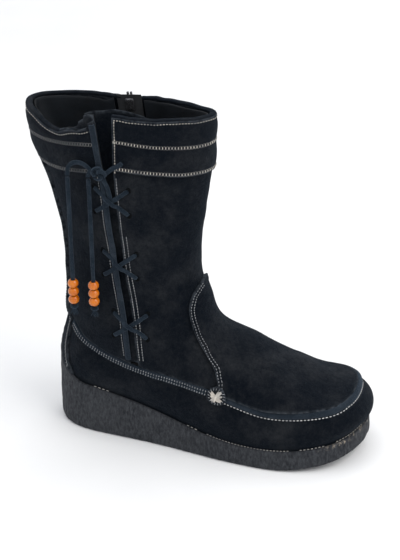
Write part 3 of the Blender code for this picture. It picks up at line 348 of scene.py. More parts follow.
class Surface:
    """The last as a dense mesh that a straight line can be run into."""

    def __init__(self, points, faces):
        self.points = points
        self.faces = np.vstack([faces[:, [0, 1, 2]], faces[:, [0, 2, 3]]])
        corner = points[self.faces]
        face_normal = np.cross(corner[:, 1] - corner[:, 0], corner[:, 2] - corner[:, 0])
        flip = np.sum(face_normal * outward(corner.mean(axis=1)), axis=1) < 0
        face_normal[flip] *= -1
        self.normals = np.zeros_like(points)
        for k in range(3):
            np.add.at(self.normals, self.faces[:, k], face_normal)
        self.normals /= np.maximum(np.linalg.norm(self.normals, axis=1), 1e-9)[:, None]
        self.corners = self.faces.tolist()
        self.places, self.directions = ([Vector(v) for v in rows] for rows in (points, self.normals))
        self.tree = BVHTree.FromPolygons(points.tolist(), self.corners)

    def _moved(self, point, index, offset):
        corner = self.corners[index]
        share = poly_3d_calc([self.places[k] for k in corner], point)
        normal = sum((w * self.directions[k] for w, k in zip(share, corner)), Vector())
        normal.normalize()
        return np.array(point + (offset + slack(point)) * normal), np.array(normal)

    def meet(self, start, direction, offset=0.0):
        """Where a line from start leaves the surface, moved out by offset, and the normal there."""
        start, direction = Vector(start), Vector(direction).normalized()
        for nudge in (0.0, 0.03, -0.03, 0.09):
            hit, _, index, _ = self.tree.ray_cast(start + Vector((nudge, nudge, nudge)), direction)
            if hit is not None:
                return self._moved(hit, index, offset)
        raise ValueError("the line misses the last")

    def nearest(self, point, offset=0.0):
        """The surface point nearest to a point, moved out by offset, and the normal there."""
        hit, _, index, _ = self.tree.find_nearest(Vector(point))
        return self._moved(hit, index, offset)


def make_last(rows=260, columns=241, ring=240, climb=31):
    """The whole outer surface: the rows of the upper and, under the seam, the side wall."""
    u, v = np.meshgrid(np.linspace(-1, 1, columns), np.linspace(0, len(LAST_ROWS) - 1, rows))
    upper = last_point(u.ravel(), v.ravel())
    t, w = np.meshgrid(np.linspace(0, 2, 2 * ring + 1), np.linspace(0, 1, climb))
    wall = wall_point(t.ravel(), w.ravel())
    faces = np.vstack([grid_faces(rows, columns), grid_faces(climb, 2 * ring + 1) + len(upper)])
    return Surface(np.vstack([upper, wall]), faces)


LAST = make_last()


def round_shaft(angle, z, offset=0.0):
    """Point at a height z, at an angle in degrees about the shaft's axis: 0 ahead, 90 lateral, 180 back."""
    a = math.radians(angle)
    return LAST.meet((SHAFT_AXIS_S, 0.0, z), (math.cos(a), math.sin(a), 0.0), offset)


def from_side(s, z, side, offset=0.0):
    """Point seen from the side at (s, z): side is 1 for lateral, -1 for medial."""
    return LAST.meet((s, side * 90.0, z), (0.0, -side, 0.0), offset)


def angle_of(s, z, side):
    """Angle about the shaft's axis of the point seen from the side at (s, z)."""
    point, _ = from_side(s, z, side)
    return math.degrees(math.atan2(abs(point[1]), point[0] - SHAFT_AXIS_S))


# ---------------------------------------------------------------- side-view lines
def slit_front(z):
    return angle_of(s_at(SLIT_FRONT, z), z, 1)


def slit_rear(z):
    return angle_of(s_at(SLIT_REAR, z), z, 1)


def zip_front(z, clearance=ZIP_HALF_OPENING):
    return -angle_of(zip_s(z) + clearance, z, -1)


def zip_rear(z, clearance=ZIP_HALF_OPENING):
    return 360.0 - angle_of(zip_s(z) - clearance, z, -1)


def seam_point(angle, side, above):
    """(signed angle, height) a little above the moccasin seam at an angle from straight ahead."""
    ends = last_point(np.full(161, float(side)), np.linspace(3, HEEL_ROW, 161))
    angles = np.degrees(np.arctan2(np.abs(ends[:, 1]), ends[:, 0] - SHAFT_AXIS_S))
    return side * angle, float(np.interp(angle, angles, ends[:, 2])) + above


def cup_point(angle):
    """(angle, height) of the foot of the side wall at an angle, which may be counted past the back."""
    ring = np.linspace(0, 2, 481)
    s, x, z = wall_point(ring, np.full(481, 0.03)).T
    around = np.degrees(np.arctan2(x, s - SHAFT_AXIS_S)) % 360.0
    order = np.argsort(around)
    return angle, float(np.interp(angle, around[order], z[order])) + 0.4


# ---------------------------------------------------------------- pieces
def world(points):
    points = np.atleast_2d(np.asarray(points, float))
    return np.column_stack([-points[:, 1] * MM, SOLE_BACK - points[:, 0] * MM, points[:, 2] * MM])


def add_piece(name, points, faces, material, slot, body="boot", stands_for=(), wear=None):
    """One piece of the looks, riding on a CAD body and standing for the CAD nodes it replaces."""
    mesh = bpy.data.meshes.new(name)
    mesh.from_pydata(world(points).tolist(), [], [tuple(int(i) for i in f) for f in faces])
    work = bmesh.new()
    work.from_mesh(mesh)
    bmesh.ops.recalc_face_normals(work, faces=work.faces)
    work.to_mesh(mesh)
    work.free()
    mesh.shade_smooth()
    mesh.set_sharp_from_angle(angle=math.radians(60))
    mesh.materials.append(material)
    values = np.zeros(len(mesh.vertices)) if wear is None else np.asarray(wear, float)
    mesh.attributes.new("wear", "FLOAT", "POINT").data.foreach_set("value", values)
    piece = bpy.data.objects.new(name, mesh)
    bpy.context.scene.collection.objects.link(piece)
    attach(piece, body)
    if stands_for:
        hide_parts(*stands_for)
    return piece


def rim_of(rows, columns):
    """Numbers of the points round the border of a grid."""
    cell = np.arange(rows * columns).reshape(rows, columns)
    return [*cell[0, :-1], *cell[:-1, -1], *cell[-1, :0:-1], *cell[:0:-1, 0]]


def edged(shares):
    """Shares of a grid with one more beside each border, for a rounded edge."""
    shares = np.asarray(shares, float)
    first, last = shares[1] - shares[0], shares[-1] - shares[-2]
    return np.concatenate([[shares[0], shares[0] + 0.2 * first], shares[1:-1],
        [shares[-1] - 0.2 * last, shares[-1]]])


def from_border(points):
    """Distance of each point of a grid from the grid's nearest border."""
    found = []
    for axis in (0, 1):
        step = np.linalg.norm(np.diff(points, axis=axis), axis=2)
        start = np.insert(np.cumsum(step, axis=axis), 0, 0.0, axis=axis)
        found += [start, np.take(start, [-1], axis=axis) - start]
    return np.min(found, axis=0)


def sheet(name, place, up, across, inner, outer, material, slot, stands_for=(), relief=None):
    """A sheet lying on the last between two distances from it, with rounded edges. place(f, g) gives a
    point of the last and its normal; relief gives an extra thickness from the distance to the border."""
    up, across = edged(up), edged(across)
    found = [place(f, g) for g in up for f in across]
    points, normals = (np.array(a).reshape(len(up), len(across), 3) for a in zip(*found))
    distance = from_border(points)
    border = (distance < 1e-6)[..., None]
    thick = outer - inner
    extra = 0.0 if relief is None else relief(distance, *np.meshgrid(across, up))[..., None]
    top = points + (outer + extra - 0.3 * thick * border) * normals
    under = points + (inner + 0.3 * thick * border) * normals
    count = len(up) * len(across)
    quads = grid_faces(len(up), len(across))
    rim = rim_of(len(up), len(across))
    faces = [*quads, *(quads[:, ::-1] + count)]
    faces += [(a, b, b + count, a + count) for a, b in zip(rim, rim[1:] + rim[:1])]
    wear = np.exp(-((distance.ravel() / 1.4) ** 2))
    both = np.vstack([top.reshape(-1, 3), under.reshape(-1, 3)])
    return add_piece(name, both, faces, material, slot, stands_for=stands_for, wear=np.tile(wear, 2))


def steps(length, size):
    """Shares of a length in steps of about a size."""
    return np.linspace(0, 1, max(int(length / (size * FINE)), 3) + 1)


def panel(node, middle, edges, low, top, inner, outer, material, cup=False, follow=1.6, relief=None,
    slot="suede"):
    """A sheet on the shaft. low lists the (angle, height) points of its lower edge; edges holds the angle
    of its upright edge as a function of height on each side, -1 and 1, of the middle angle. A sheet that
    starts in the sole's cup keeps to it up to the cup's edge. top is a height or a function of angle."""
    angles, heights = (np.array(a, float) for a in zip(*low))
    levels = np.arange(min(heights) // 1, SHAFT_TOP + 4.0, 3.0)
    tables = {side: [edge(z) for z in levels] for side, edge in edges.items()}
    reference = {side: max(side * (a - middle) for a in angles) for side in edges}
    numbers = np.arange(len(angles))
    turn = steps(abs(angles[-1] - angles[0]), 2.4)
    order = 1 if angles[-1] > angles[0] else -1
    across = np.interp(angles[0] + (angles[-1] - angles[0]) * turn, angles[::order], numbers[::order])

    def place(f, g):
        angle, bottom = np.interp(f, numbers, angles), np.interp(f, numbers, heights)
        side = 1 if angle > middle else -1
        end = top(angle) if callable(top) else top
        start = bottom + (CUP_DEPTH + 0.6 if cup else 0.0)
        if not cup:
            z = bottom + (end - bottom) * g
        elif g > 0.06:
            z = start + (end - start) * (g - 0.06) / 0.94
        else:
            z = bottom + (start - bottom) * g / 0.06
        if side in edges:
            share = abs(angle - middle) / reference[side]
            angle += (np.interp(z, levels, tables[side]) - middle - side * reference[side]) * share**follow
        return round_shaft(angle, z)

    tall = (top(0.0) if callable(top) else top) - min(heights)
    name = f"{node}_soft"
    return sheet(name, place, steps(tall, 2.6), across, inner, outer, material, slot, (node,), relief)


def rings_faces(number, count, start=0, closed=False):
    """Quads of a skin over rings of points, with its two ends closed unless it closes on itself."""
    faces = [] if closed else [range(start + count - 1, start - 1, -1)]
    for i in range(number - (0 if closed else 1)):
        a, b = start + i * count, start + (i + 1) % number * count
        faces += [(a + j, a + (j + 1) % count, b + (j + 1) % count, b + j) for j in range(count)]
    if not closed:
        faces.append(range(start + (number - 1) * count, start + number * count))
    return faces


def unit(rows):
    return rows / np.maximum(np.linalg.norm(rows, axis=-1, keepdims=True), 1e-9)


def sweep_rings(points, normals, profile, lift=None, widen=None, closed=False):
    """Rings of a bar along a path. The profile lists (across, up) pairs, up being along the normals."""
    points, normals = np.array(points, float), np.array(normals, float)
    ahead = np.roll(points, -1, 0) - np.roll(points, 1, 0) if closed else np.gradient(points, axis=0)
    ahead = unit(ahead)
    normals = unit(normals - np.sum(normals * ahead, axis=1)[:, None] * ahead)
    across = np.cross(normals, ahead)
    if lift is not None:
        points = points + np.asarray(lift)[:, None] * normals
    wide = np.ones(len(points)) if widen is None else np.asarray(widen)
    return np.stack([points + a * wide[:, None] * across + b * normals for a, b in profile], axis=1)


def sweep(name, path, profile, material, slot, lift=None, widen=None, closed=False, **rest):
    rings = sweep_rings(*zip(*path), profile, lift, widen, closed)
    faces = rings_faces(*rings.shape[:2], closed=closed)
    return add_piece(name, rings.reshape(-1, 3), faces, material, slot, **rest)


def oval(width, low, high, count=12, power=1.0):
    """Profile of a bar, round for power 1 and squarer below."""
    turn = 2 * math.pi * (np.arange(count) + 0.5) / count
    a, b = np.cos(turn), np.sin(turn)
    a, b = (np.sign(k) * np.abs(k) ** power for k in (a, b))
    return list(zip(width / 2 * a, (low + high) / 2 + (high - low) / 2 * b))


def lay(path, offset=0.0, shift=0.0):
    """Points of a path moved sideways by shift, at a distance from the last, and the normals there."""
    points, normals = (np.array(a) for a in zip(*[LAST.nearest(p) for p in path]))
    if shift:
        points = points + shift * unit(np.cross(normals, np.gradient(points, axis=0)))
    return tuple(np.array(a) for a in zip(*[LAST.nearest(p, offset) for p in points]))


class Thread:
    """The stitches of one group, gathered into one piece."""

    def __init__(self, radius):
        self.radius = radius
        self.points = []
        self.faces = []

    def stitch(self, a, b, normals):
        """A stitch from each point of a to each of b, arched away from the surface."""
        a, b, normals = (np.atleast_2d(k) for k in (a, b, normals))
        ahead = unit(b - a)
        across = unit(np.cross(normals, ahead))
        upward = np.cross(ahead, across)
        turn = np.linspace(0, 2 * math.pi, 5, endpoint=False)
        for k in range(len(a)):
            start = len(self.points)
            for t, r, h in ((0.0, 0.45, -0.25), (0.3, 0.95, 0.55), (0.7, 0.95, 0.55), (1.0, 0.45, -0.25)):
                middle = a[k] + (b[k] - a[k]) * t + upward[k] * h * self.radius
                ring = [math.cos(q) * across[k] + math.sin(q) * upward[k] for q in turn]
                self.points += [middle + self.radius * r * v for v in ring]
            self.faces += rings_faces(4, 5, start)

    def row(self, path, offset, shift=0.0, pitch=2.4, share=0.72):
        """A line of stitches beside a path."""
        length = np.sum(np.linalg.norm(np.diff(path, axis=0), axis=1))
        points, normals = lay(along(path, max(int(length / (pitch * FINE)), 2) + 1), offset, shift)
        step = np.diff(points, axis=0)
        space = (1 - share) / 2
        self.stitch(points[:-1] + space * step, points[1:] - space * step, (normals[:-1] + normals[1:]) / 2)

    def rungs(self, path, offset, shift, half, pitch=2.4):
        """Short stitches across a path."""
        length = np.sum(np.linalg.norm(np.diff(path, axis=0), axis=1))
        path = along(path, max(int(length / (pitch * FINE)), 2) + 1)
        a, normals = lay(path, offset, shift - half)
        b, _ = lay(path, offset, shift + half)
        self.stitch(a, b, normals)

    def emit(self, name, material):
        add_piece(name, np.array(self.points), self.faces, material, "ornament_thread")


# ---------------------------------------------------------------- materials
class Look:
    """A node material being put together."""

    def __init__(self, name, roughness, metallic=0.0, **inputs):
        self.material = bpy.data.materials.new(name)
        self.material.use_nodes = True
        self.tree = self.material.node_tree
        self.shader = self.tree.nodes["Principled BSDF"]
        self.put("Roughness", roughness)
        self.put("Metallic", metallic)
        for key, value in inputs.items():
            self.put(key.replace("_", " "), value)
        self.place = self.tree.nodes.new("ShaderNodeTexCoord").outputs["Object"]
        self.grain = None

    def link(self, socket, value):
        if hasattr(value, "is_linked"):
            self.tree.links.new(value, socket)
        else:
            socket.default_value = value

    def put(self, key, value):
        self.link(self.shader.inputs[key], value)

    def noise(self, scale, detail=3.0, stretch=(1.0, 1.0, 1.0), rough=0.55):
        """Cloudy noise from 0 to 1. The scale counts features per metre."""
        mapping = self.tree.nodes.new("ShaderNodeMapping")
        self.link(mapping.inputs["Vector"], self.place)
        mapping.inputs["Scale"].default_value = stretch
        node = self.tree.nodes.new("ShaderNodeTexNoise")
        self.link(node.inputs["Vector"], mapping.outputs["Vector"])
        node.inputs["Scale"].default_value = scale
        node.inputs["Detail"].default_value = detail
        node.inputs["Roughness"].default_value = rough
        return node.outputs["Fac"]

    def wave(self, scale, direction, distortion=0.0):
        node = self.tree.nodes.new("ShaderNodeTexWave")
        self.link(node.inputs["Vector"], self.place)
        node.bands_direction = direction
        node.inputs["Scale"].default_value = scale
        node.inputs["Distortion"].default_value = distortion
        return node.outputs["Fac"]

    def cells(self, scale):
        node = self.tree.nodes.new("ShaderNodeTexVoronoi")
        self.link(node.inputs["Vector"], self.place)
        node.inputs["Scale"].default_value = scale
        return node.outputs["Distance"]

    def wear(self):
        """The worn share stored on the mesh: 1 at the edges of a sheet."""
        node = self.tree.nodes.new("ShaderNodeAttribute")
        node.attribute_name = "wear"
        return node.outputs["Fac"]

    def band(self, value, low, high, to_low=0.0, to_high=1.0):
        node = self.tree.nodes.new("ShaderNodeMapRange")
        for key, number in (("From Min", low), ("From Max", high), ("To Min", to_low), ("To Max", to_high)):
            node.inputs[key].default_value = number
        self.link(node.inputs["Value"], value)
        return node.outputs["Result"]

    def times(self, a, b, operation="MULTIPLY"):
        node = self.tree.nodes.new("ShaderNodeMath")
        node.operation = operation
        self.link(node.inputs[0], a)
        self.link(node.inputs[1], b)
        return node.outputs[0]

    def mix(self, share, a, b):
        node = self.tree.nodes.new("ShaderNodeMix")
        node.data_type = "RGBA"
        self.link(node.inputs["Factor"], share)
        self.link(node.inputs[6], (*a, 1.0) if isinstance(a, tuple) else a)
        self.link(node.inputs[7], (*b, 1.0) if isinstance(b, tuple) else b)
        return node.outputs[2]

    def bump(self, height, distance, strength=1.0):
        node = self.tree.nodes.new("ShaderNodeBump")
        node.inputs["Distance"].default_value = distance
        node.inputs["Strength"].default_value = strength
        self.link(node.inputs["Height"], height)
        if self.grain is not None:
            self.link(node.inputs["Normal"], self.grain)
        self.grain = node.outputs["Normal"]
        self.put("Normal", self.grain)


def suede_look(name, dark, light, worn, patches=22.0, sheen=0.25):
    """Napped leather: paler patches, partly brushed nap and partly painted highlight of lit suede, a short
    nap and paler worn edges.
    """
    look = Look(name, 0.95, Sheen_Weight=sheen, Sheen_Roughness=0.5, Specular_IOR_Level=0.06)
    look.put("Sheen Tint", (0.38, 0.5, 0.66, 1.0))
    # Paler patches: partly brushed nap, partly painted highlight where the suede catches the light.
    brushed_and_lit_patches = look.band(look.noise(patches, 3.0, rough=0.6), 0.46, 0.68)
    mottled = look.band(look.noise(260.0, 6.0, rough=0.75), 0.36, 0.66)
    speckle = look.band(look.noise(1100.0, 2.0, rough=0.8), 0.35, 0.68)
    colour = look.mix(look.times(brushed_and_lit_patches, look.band(mottled, 0, 1, 0.35, 1.0)), dark, light)
    colour = look.mix(look.times(look.times(mottled, speckle), 0.55), colour, light)
    edge = look.times(look.wear(), look.band(look.noise(230.0, 4.0), 0.35, 0.6))
    colour = look.mix(look.times(edge, 0.8), colour, worn)
    look.put("Base Color", colour)
    look.put("Roughness", look.band(mottled, 0, 1, 0.98, 0.84))
    look.bump(look.noise(420.0, 4.0, rough=0.7), 0.0012, 0.7)
    look.bump(look.noise(1800.0, 3.0, rough=0.7), 0.0007, 0.8)
    return look.material


def crepe_look():
    """Crinkled rubber: upright wrinkles, upright paler and darker streaks and pale scuffs where the mesh
    says so.
    """
    look = Look("crepe_rubber", 0.85, Specular_IOR_Level=0.3)
    streaks = look.band(look.noise(460.0, 5.0, (1.0, 1.0, 0.45), 0.75), 0.38, 0.64)
    cloud = look.band(look.noise(30.0, 3.0), 0.35, 0.65)
    colour = look.mix(look.times(streaks, 0.75), (0.0095, 0.011, 0.0145), (0.046, 0.050, 0.057))
    colour = look.mix(look.times(cloud, 0.3), colour, (0.05, 0.053, 0.058))
    scuffed = look.times(look.wear(), look.band(look.noise(300.0, 5.0, rough=0.75), 0.54, 0.64))
    look.put("Base Color", look.mix(scuffed, colour, (0.34, 0.29, 0.23)))
    look.put("Roughness", look.band(streaks, 0, 1, 0.95, 0.7))
    look.bump(look.noise(700.0, 4.0, (1.0, 1.0, 0.22), 0.65), 0.0011, 0.8)
    look.bump(look.cells(900.0), 0.0004, 0.5)
    return look.material


def thread_look(name, pale, grey, dirt=0.5):
    look = Look(name, 0.7, Sheen_Weight=0.3)
    dirty = look.band(look.noise(90.0, 3.0), 0.4, 0.65, 0.0, dirt)
    look.put("Base Color", look.mix(dirty, pale, grey))
    look.bump(look.wave(900.0, "DIAGONAL"), 0.0002, 0.7)
    look.put("Roughness", look.band(look.noise(700.0, 2.0), 0.3, 0.7, 0.6, 0.85))
    return look.material


def cloth_look(name, dark, light, scale, roughness, sheen=0.2):
    """Woven cloth: two sets of fine threads."""
    look = Look(name, roughness, Sheen_Weight=sheen, Specular_IOR_Level=0.3)
    weave = look.times(look.wave(scale, "Z", 0.4), look.wave(scale, "Y", 0.4), "MAXIMUM")
    look.put("Base Color", look.mix(look.times(weave, look.band(look.noise(60.0), 0.3, 0.7)), dark, light))
    look.put("Roughness", look.band(look.noise(300.0), 0.3, 0.7, roughness - 0.08, roughness + 0.08))
    look.bump(weave, 0.00015, 0.6)
    return look.material


def wood_look():
    look = Look("bead_lacquered_wood", 0.28, Coat_Weight=0.6, Coat_Roughness=0.06, Specular_IOR_Level=0.2)
    rings = look.band(look.wave(420.0, "Z", 5.0), 0.2, 0.9)
    cloud = look.band(look.noise(240.0, 4.0), 0.3, 0.7)
    colour = look.mix(rings, (0.36, 0.07, 0.002), (0.60, 0.145, 0.004))
    look.put("Base Color", look.mix(look.times(cloud, 0.5), colour, (0.74, 0.23, 0.01)))
    look.put("Roughness", look.band(cloud, 0, 1, 0.18, 0.32))
    look.bump(rings, 0.00008, 0.4)
    return look.material


def metal_look(name, dark, light, roughness):
    look = Look(name, roughness, 0.9)
    worn = look.band(look.noise(500.0, 4.0), 0.4, 0.66)
    look.put("Base Color", look.mix(look.times(worn, 0.7), dark, light))
    look.put("Roughness", look.band(worn, 0, 1, roughness + 0.1, roughness - 0.08))
    look.bump(look.noise(1500.0, 3.0), 0.00006, 0.5)
    return look.material


def plain_look(name, dark, light, scale, roughness, grain):
    look = Look(name, roughness)
    cloud = look.band(look.noise(scale, 5.0), 0.3, 0.7)
    look.put("Base Color", look.mix(cloud, dark, light))
    look.put("Roughness", look.band(cloud, 0, 1, roughness + 0.06, roughness - 0.08))
    look.bump(look.noise(scale * 8, 3.0), grain, 0.6)
    return look.material


# ---------------------------------------------------------------- sole
def outline_at(t, inset):
    ring = sole_outline(240, inset)
    ring = np.vstack([ring, ring[:1]])
    return np.column_stack([np.interp(np.asarray(t) * 240, WALL_NUMBERS, c) for c in ring.T])


def sole_bottom(s):
    spring = TOE_SPRING * np.clip((s - 195.0) / 77.0, 0, 1) ** 1.7
    return spring + 3.5 * np.clip((11.0 - s) / 11.0, 0, 1) ** 2


def sole_edge(t, out):
    """Top edge of the sole's raised lip at ring positions."""
    rings = ([np.interp(t * 240, WALL_NUMBERS, c) for c in ring.T] for ring in WALL_RINGS)
    upper, lower, normal = (np.column_stack(ring) for ring in rings)
    from_back = np.minimum(t, 2 - t) * 300.0
    top = lower[:, 2] + CUP_DEPTH + HEEL_TAB_HEIGHT * np.clip(1 - from_back / 38.0, 0, 1) ** 1.4
    share = (top - lower[:, 2]) / (upper[:, 2] - lower[:, 2])
    flat = wall_point(t, share)[:, :2] + out * normal[:, :2]
    return np.column_stack([flat, top]), upper, lower, normal


def make_outsole(crepe):
    """The crepe wedge: its side crinkled upright, its lip rounded, the heel tab pointed."""
    count = 720 // FINE
    t = np.linspace(0, 2, count, endpoint=False)
    edge = outline_at(t, 0.0)
    under = sole_bottom(edge[:, 0])
    lip, upper, lower, normal = sole_edge(t, 0.0)
    side, top = lower[:, 2] + CUP_DEPTH, lip[:, 2]

    def climb(share, out, drop=0.0):
        z = side - 3 + share * (3 + top - side) - drop
        flat = wall_point(t, (z - lower[:, 2]) / (upper[:, 2] - lower[:, 2]))[:, :2] + out * normal[:, :2]
        return np.column_stack([flat, z])

    def foot(inset, z):
        return np.column_stack([outline_at(t, inset), z])

    keys = [
        (foot(24.0, under), 1),
        (foot(6.0, under), 4),
        (foot(2.0, under + 0.1), 1),
        (foot(0.6, under + 0.9), 1),
        (foot(0.1, under + 2.4), 1),
        (foot(0.0, under * 0.6 + (side - 3) * 0.4), 6),
        (climb(0.0, LIP), 8),
        (climb(0.9, LIP), 5),
        (climb(1.0, LIP - 0.3, 0.7), 1),
        (climb(1.0, LIP - 0.8), 1),
        (climb(1.0, GAP + 0.9), 1),
        (climb(1.0, GAP + 0.1, 0.6), 1),
        (climb(0.5, GAP), 2),
        (climb(0.0, GAP), 2),
        (foot(LIP, side - CUP_DEPTH - 1.2), 2),
        (foot(24.0, side - CUP_DEPTH - 1.2), 4),
    ]
    rings = [keys[0][0]]
    for (a, _), (b, parts) in zip(keys, keys[1:]):
        rings += [a + (b - a) * k / parts for k in range(1, parts + 1)]
    length = np.cumsum(np.linalg.norm(np.diff(edge, axis=0, append=edge[:1]), axis=1))
    outer_last = 1 + sum(parts for _, parts in keys[1:9])
    for ring in rings[6:outer_last]:
        for k, p in enumerate(ring):
            crinkle = noise.noise(Vector((length[k] / 1.9, p[2] / 9.0, 3.0)))
            lump = noise.noise(Vector((length[k] / 6.0, p[2] / 6.0, 9.0)))
            p[:2] += (0.42 * crinkle + 0.3 * lump) * normal[k, :2]
    points = np.vstack(rings)
    faces = rings_faces(len(rings), count, closed=True)[: (len(rings) - 1) * count]
    faces += closing(0, count) + closing((len(rings) - 1) * count, count)
    scuff = np.clip(1 - np.abs(points[:, 2] - np.tile(top, len(rings)) + 1.5) / 4.0, 0, 1)
    scuff *= np.clip((points[:, 0] - 236) / 16.0, 0, 1) * np.clip((points[:, 1] + 38) / 30.0, 0, 1)
    add_piece("sole_crepe", points, faces, crepe, "sole_rubber", stands_for=("outsole",), wear=scuff)


def closing(start, count):
    """Faces closing a ring whose two halves run side by side."""
    faces = []
    for i in range(count // 2):
        ring = dict.fromkeys((i, i + 1, (count - i - 1) % count, (count - i) % count))
        faces.append([start + k for k in ring])
    return faces


def make_welt(thread):
    """The thin pale line of cement and stitches where the upper meets the sole, worn away in places."""
    row = Thread(0.34)
    for first, last in ((0.16, 0.21), (0.44, 0.475), (0.5, 0.735), (0.76, 0.83), (0.86, 1.1), (1.18, 1.5),
        (1.6, 1.8)):
        count = int((last - first) * 300 / 2.6)
        t = np.linspace(first, last, count)
        lip, _, _, normal = sole_edge(t, GAP + 0.5)
        upward = np.column_stack([normal[:-1], np.ones(count - 1)])
        a, b = lip[:-1] + (0, 0, 0.25), lip[1:] + (0, 0, 0.25)
        row.stitch(a + 0.2 * (b - a), b - 0.2 * (b - a), upward)
    row.emit("welt_stitches", thread)


# ---------------------------------------------------------------- upper
def wall_sheet(name, first, last, low, high, inner, outer, material, slot, stands_for):
    """A sheet of the side wall between the ring positions first(w) and last(w)."""

    def place(f, g):
        t = first(0.5) + f * (last(0.5) - first(0.5))
        upper, lower = (np.interp((t % 2) * 240, WALL_NUMBERS, ring[:, 2]) for ring in WALL_RINGS[:2])
        w = np.interp(g, [0, 0.12, 1], [low, (CUP_DEPTH + 1.0) / (upper - lower), high(t)])
        return LAST.nearest(wall_point([first(w) + f * (last(w) - first(w))], [w])[0])

    length = 320.0 * (last(0.5) - first(0.5))
    sheet(name, place, steps(46.0, 2.0), steps(length, 2.4), inner, outer, material, slot, stands_for)


def below_seam(t):
    """Height share of the side wall's upper edge, clear of the seam's roll."""
    number = (t % 2) * 240
    upper, lower = (np.interp(number, WALL_NUMBERS, ring[:, 2]) for ring in WALL_RINGS[:2])
    return 1 - (ROLL_WIDTH / 2 - 0.6) / (upper - lower)


def wall_end(w):
    """Ring position where the side wall stops at the front edge of the zip."""
    t = np.linspace(1.2, 1.9, 141)
    points = wall_point(t, np.full(141, w))
    past = points[:, 0] - ZIP_HALF_OPENING - np.interp(points[:, 2], np.arange(301), ZIP_TABLE)
    return float(np.interp(0, past[::-1], t[::-1]))


WALL_SHARES = np.linspace(0.0, 1.05, 43)
WALL_ENDS = [wall_end(w) for w in WALL_SHARES]


def medial_end(w):
    return float(np.interp(w, WALL_SHARES, WALL_ENDS))


def beside_seam(point, clearance):
    """The place on the plug's side of the moccasin seam, at a clearance from the seam's nearest point."""
    seam = WALL_RINGS[0]
    number = int(np.argmin(np.sum((seam - point) ** 2, axis=1)))
    _, normal = LAST.nearest(seam[number])
    inward = np.cross(normal, seam[(number + 1) % 480] - seam[number - 1])
    inward *= np.sign(inward @ (np.array([min(seam[number][0] - 5, 215.0), 0.0, 75.0]) - seam[number]))
    return LAST.nearest(seam[number] + inward / np.linalg.norm(inward) * clearance)


def tongue_edge():
    """The plug's border on the last's grid, from the medial ornament over the ankle to the lateral one."""
    share = np.array(TONGUE_EDGE)
    side = np.concatenate([-share[:, 0], share[::-1][1:, 0]])
    row = np.concatenate([share[:, 1], share[::-1][1:, 1]])
    return np.linspace(-1, 1, len(side)), side, row


def refine(grid, factor):
    """A grid of points filled in between with smooth curves."""
    for _ in range(2):
        rows = len(grid)
        fine = np.linspace(0, rows - 1, (rows - 1) * factor + 1)
        flat = grid.reshape(rows, -1).T
        grid = np.stack([spline(np.arange(rows), column, fine) for column in flat], axis=1)
        grid = grid.reshape(len(fine), -1, 3).swapaxes(0, 1)
    return grid


def make_plug(suede):
    """The plug on top of the foot and the tongue it runs into, in one piece, its upper border folded."""
    number, side, row = tongue_edge()
    coarse = np.zeros((17, 23, 3))
    for i, g in enumerate(np.linspace(0, 1, 17)):
        for j, c in enumerate(np.linspace(-1, 1, 23)):
            u, v = np.interp(c, number, side), np.interp(c, number, row)
            point = last_point([(1 - g) * c + g * u], [v * g])[0]
            from_edge = round(min(16 * g, 11 * (1 - abs(c))))
            clearance = ROLL_WIDTH / 2 - 0.3 + 3.0 * min(from_edge, 3)
            near = np.min(np.linalg.norm(WALL_RINGS[0] - point, axis=1)) < clearance
            coarse[i, j] = (beside_seam(point, clearance) if near else LAST.nearest(point))[0]
    factor = 4 // FINE
    fine = refine(coarse, factor)
    rows, columns = fine.shape[:2]

    def place(f, g):
        i, j = g * (rows - 1), f * (columns - 1)
        a, b = min(int(i), rows - 2), min(int(j), columns - 2)
        p, q = fine[a, b] * (1 - j + b) + fine[a, b + 1] * (j - b), fine[a + 1,
            b] * (1 - j + b) + fine[a + 1, b + 1] * (j - b)
        return LAST.nearest(p * (1 - i + a) + q * (i - a))

    def fold(distance, f, g):
        high = smooth_step((g - 0.55) / 0.2)
        folded = high * 0.6 * (1 - smooth_step((distance - 4.6) / 1.2))
        return folded + (1 - high) * 0.25 * np.exp(-((distance / 3) ** 2))

    up, across = np.linspace(0, 1, rows), np.linspace(0, 1, columns)
    sheet("plug_suede", place, up, across, 0.2, OVERLAY + SUEDE, suede, "suede", ("plug",), fold)


def front_low(lateral_edge, medial_edge, above, widen=1.0):
    """Lower edge of a front sheet: along the moccasin seam on both sides and hidden under the tongue."""
    ahead = [seam_point(a, 1, above) for a in range(70, 26, -4) if a < lateral_edge - 2.0]
    zipped = [seam_point(a, -1, above) for a in (27.0, 30.0, 33.0, 36.0)]
    hidden = [(widen * a, z) for a, z in UNDER_TONGUE[1:] if widen * a < 25.0]
    under = [*hidden[::-1], UNDER_TONGUE[0], *((-a, z) for a, z in hidden)]
    return [seam_point(lateral_edge, 1, above), *ahead, *under, *zipped,
        seam_point(-medial_edge, -1, above)]


def collar_lean(angle):
    """How far the cuffs and their seams stand above an even height at an angle round the shaft."""
    angle = angle % 360.0
    if angle > 290.0 or angle < 100.0:
        ahead = angle - 360.0 if angle > 180.0 else angle
        raised = 3.6 * math.exp(-(((ahead - 88.0) / 42.0) ** 2))
        return raised - 2.6 * math.exp(-(((ahead + 5.0) / 45.0) ** 2))
    return -4.0 * math.exp(-(((angle - 155.0) / 26.0) ** 2))


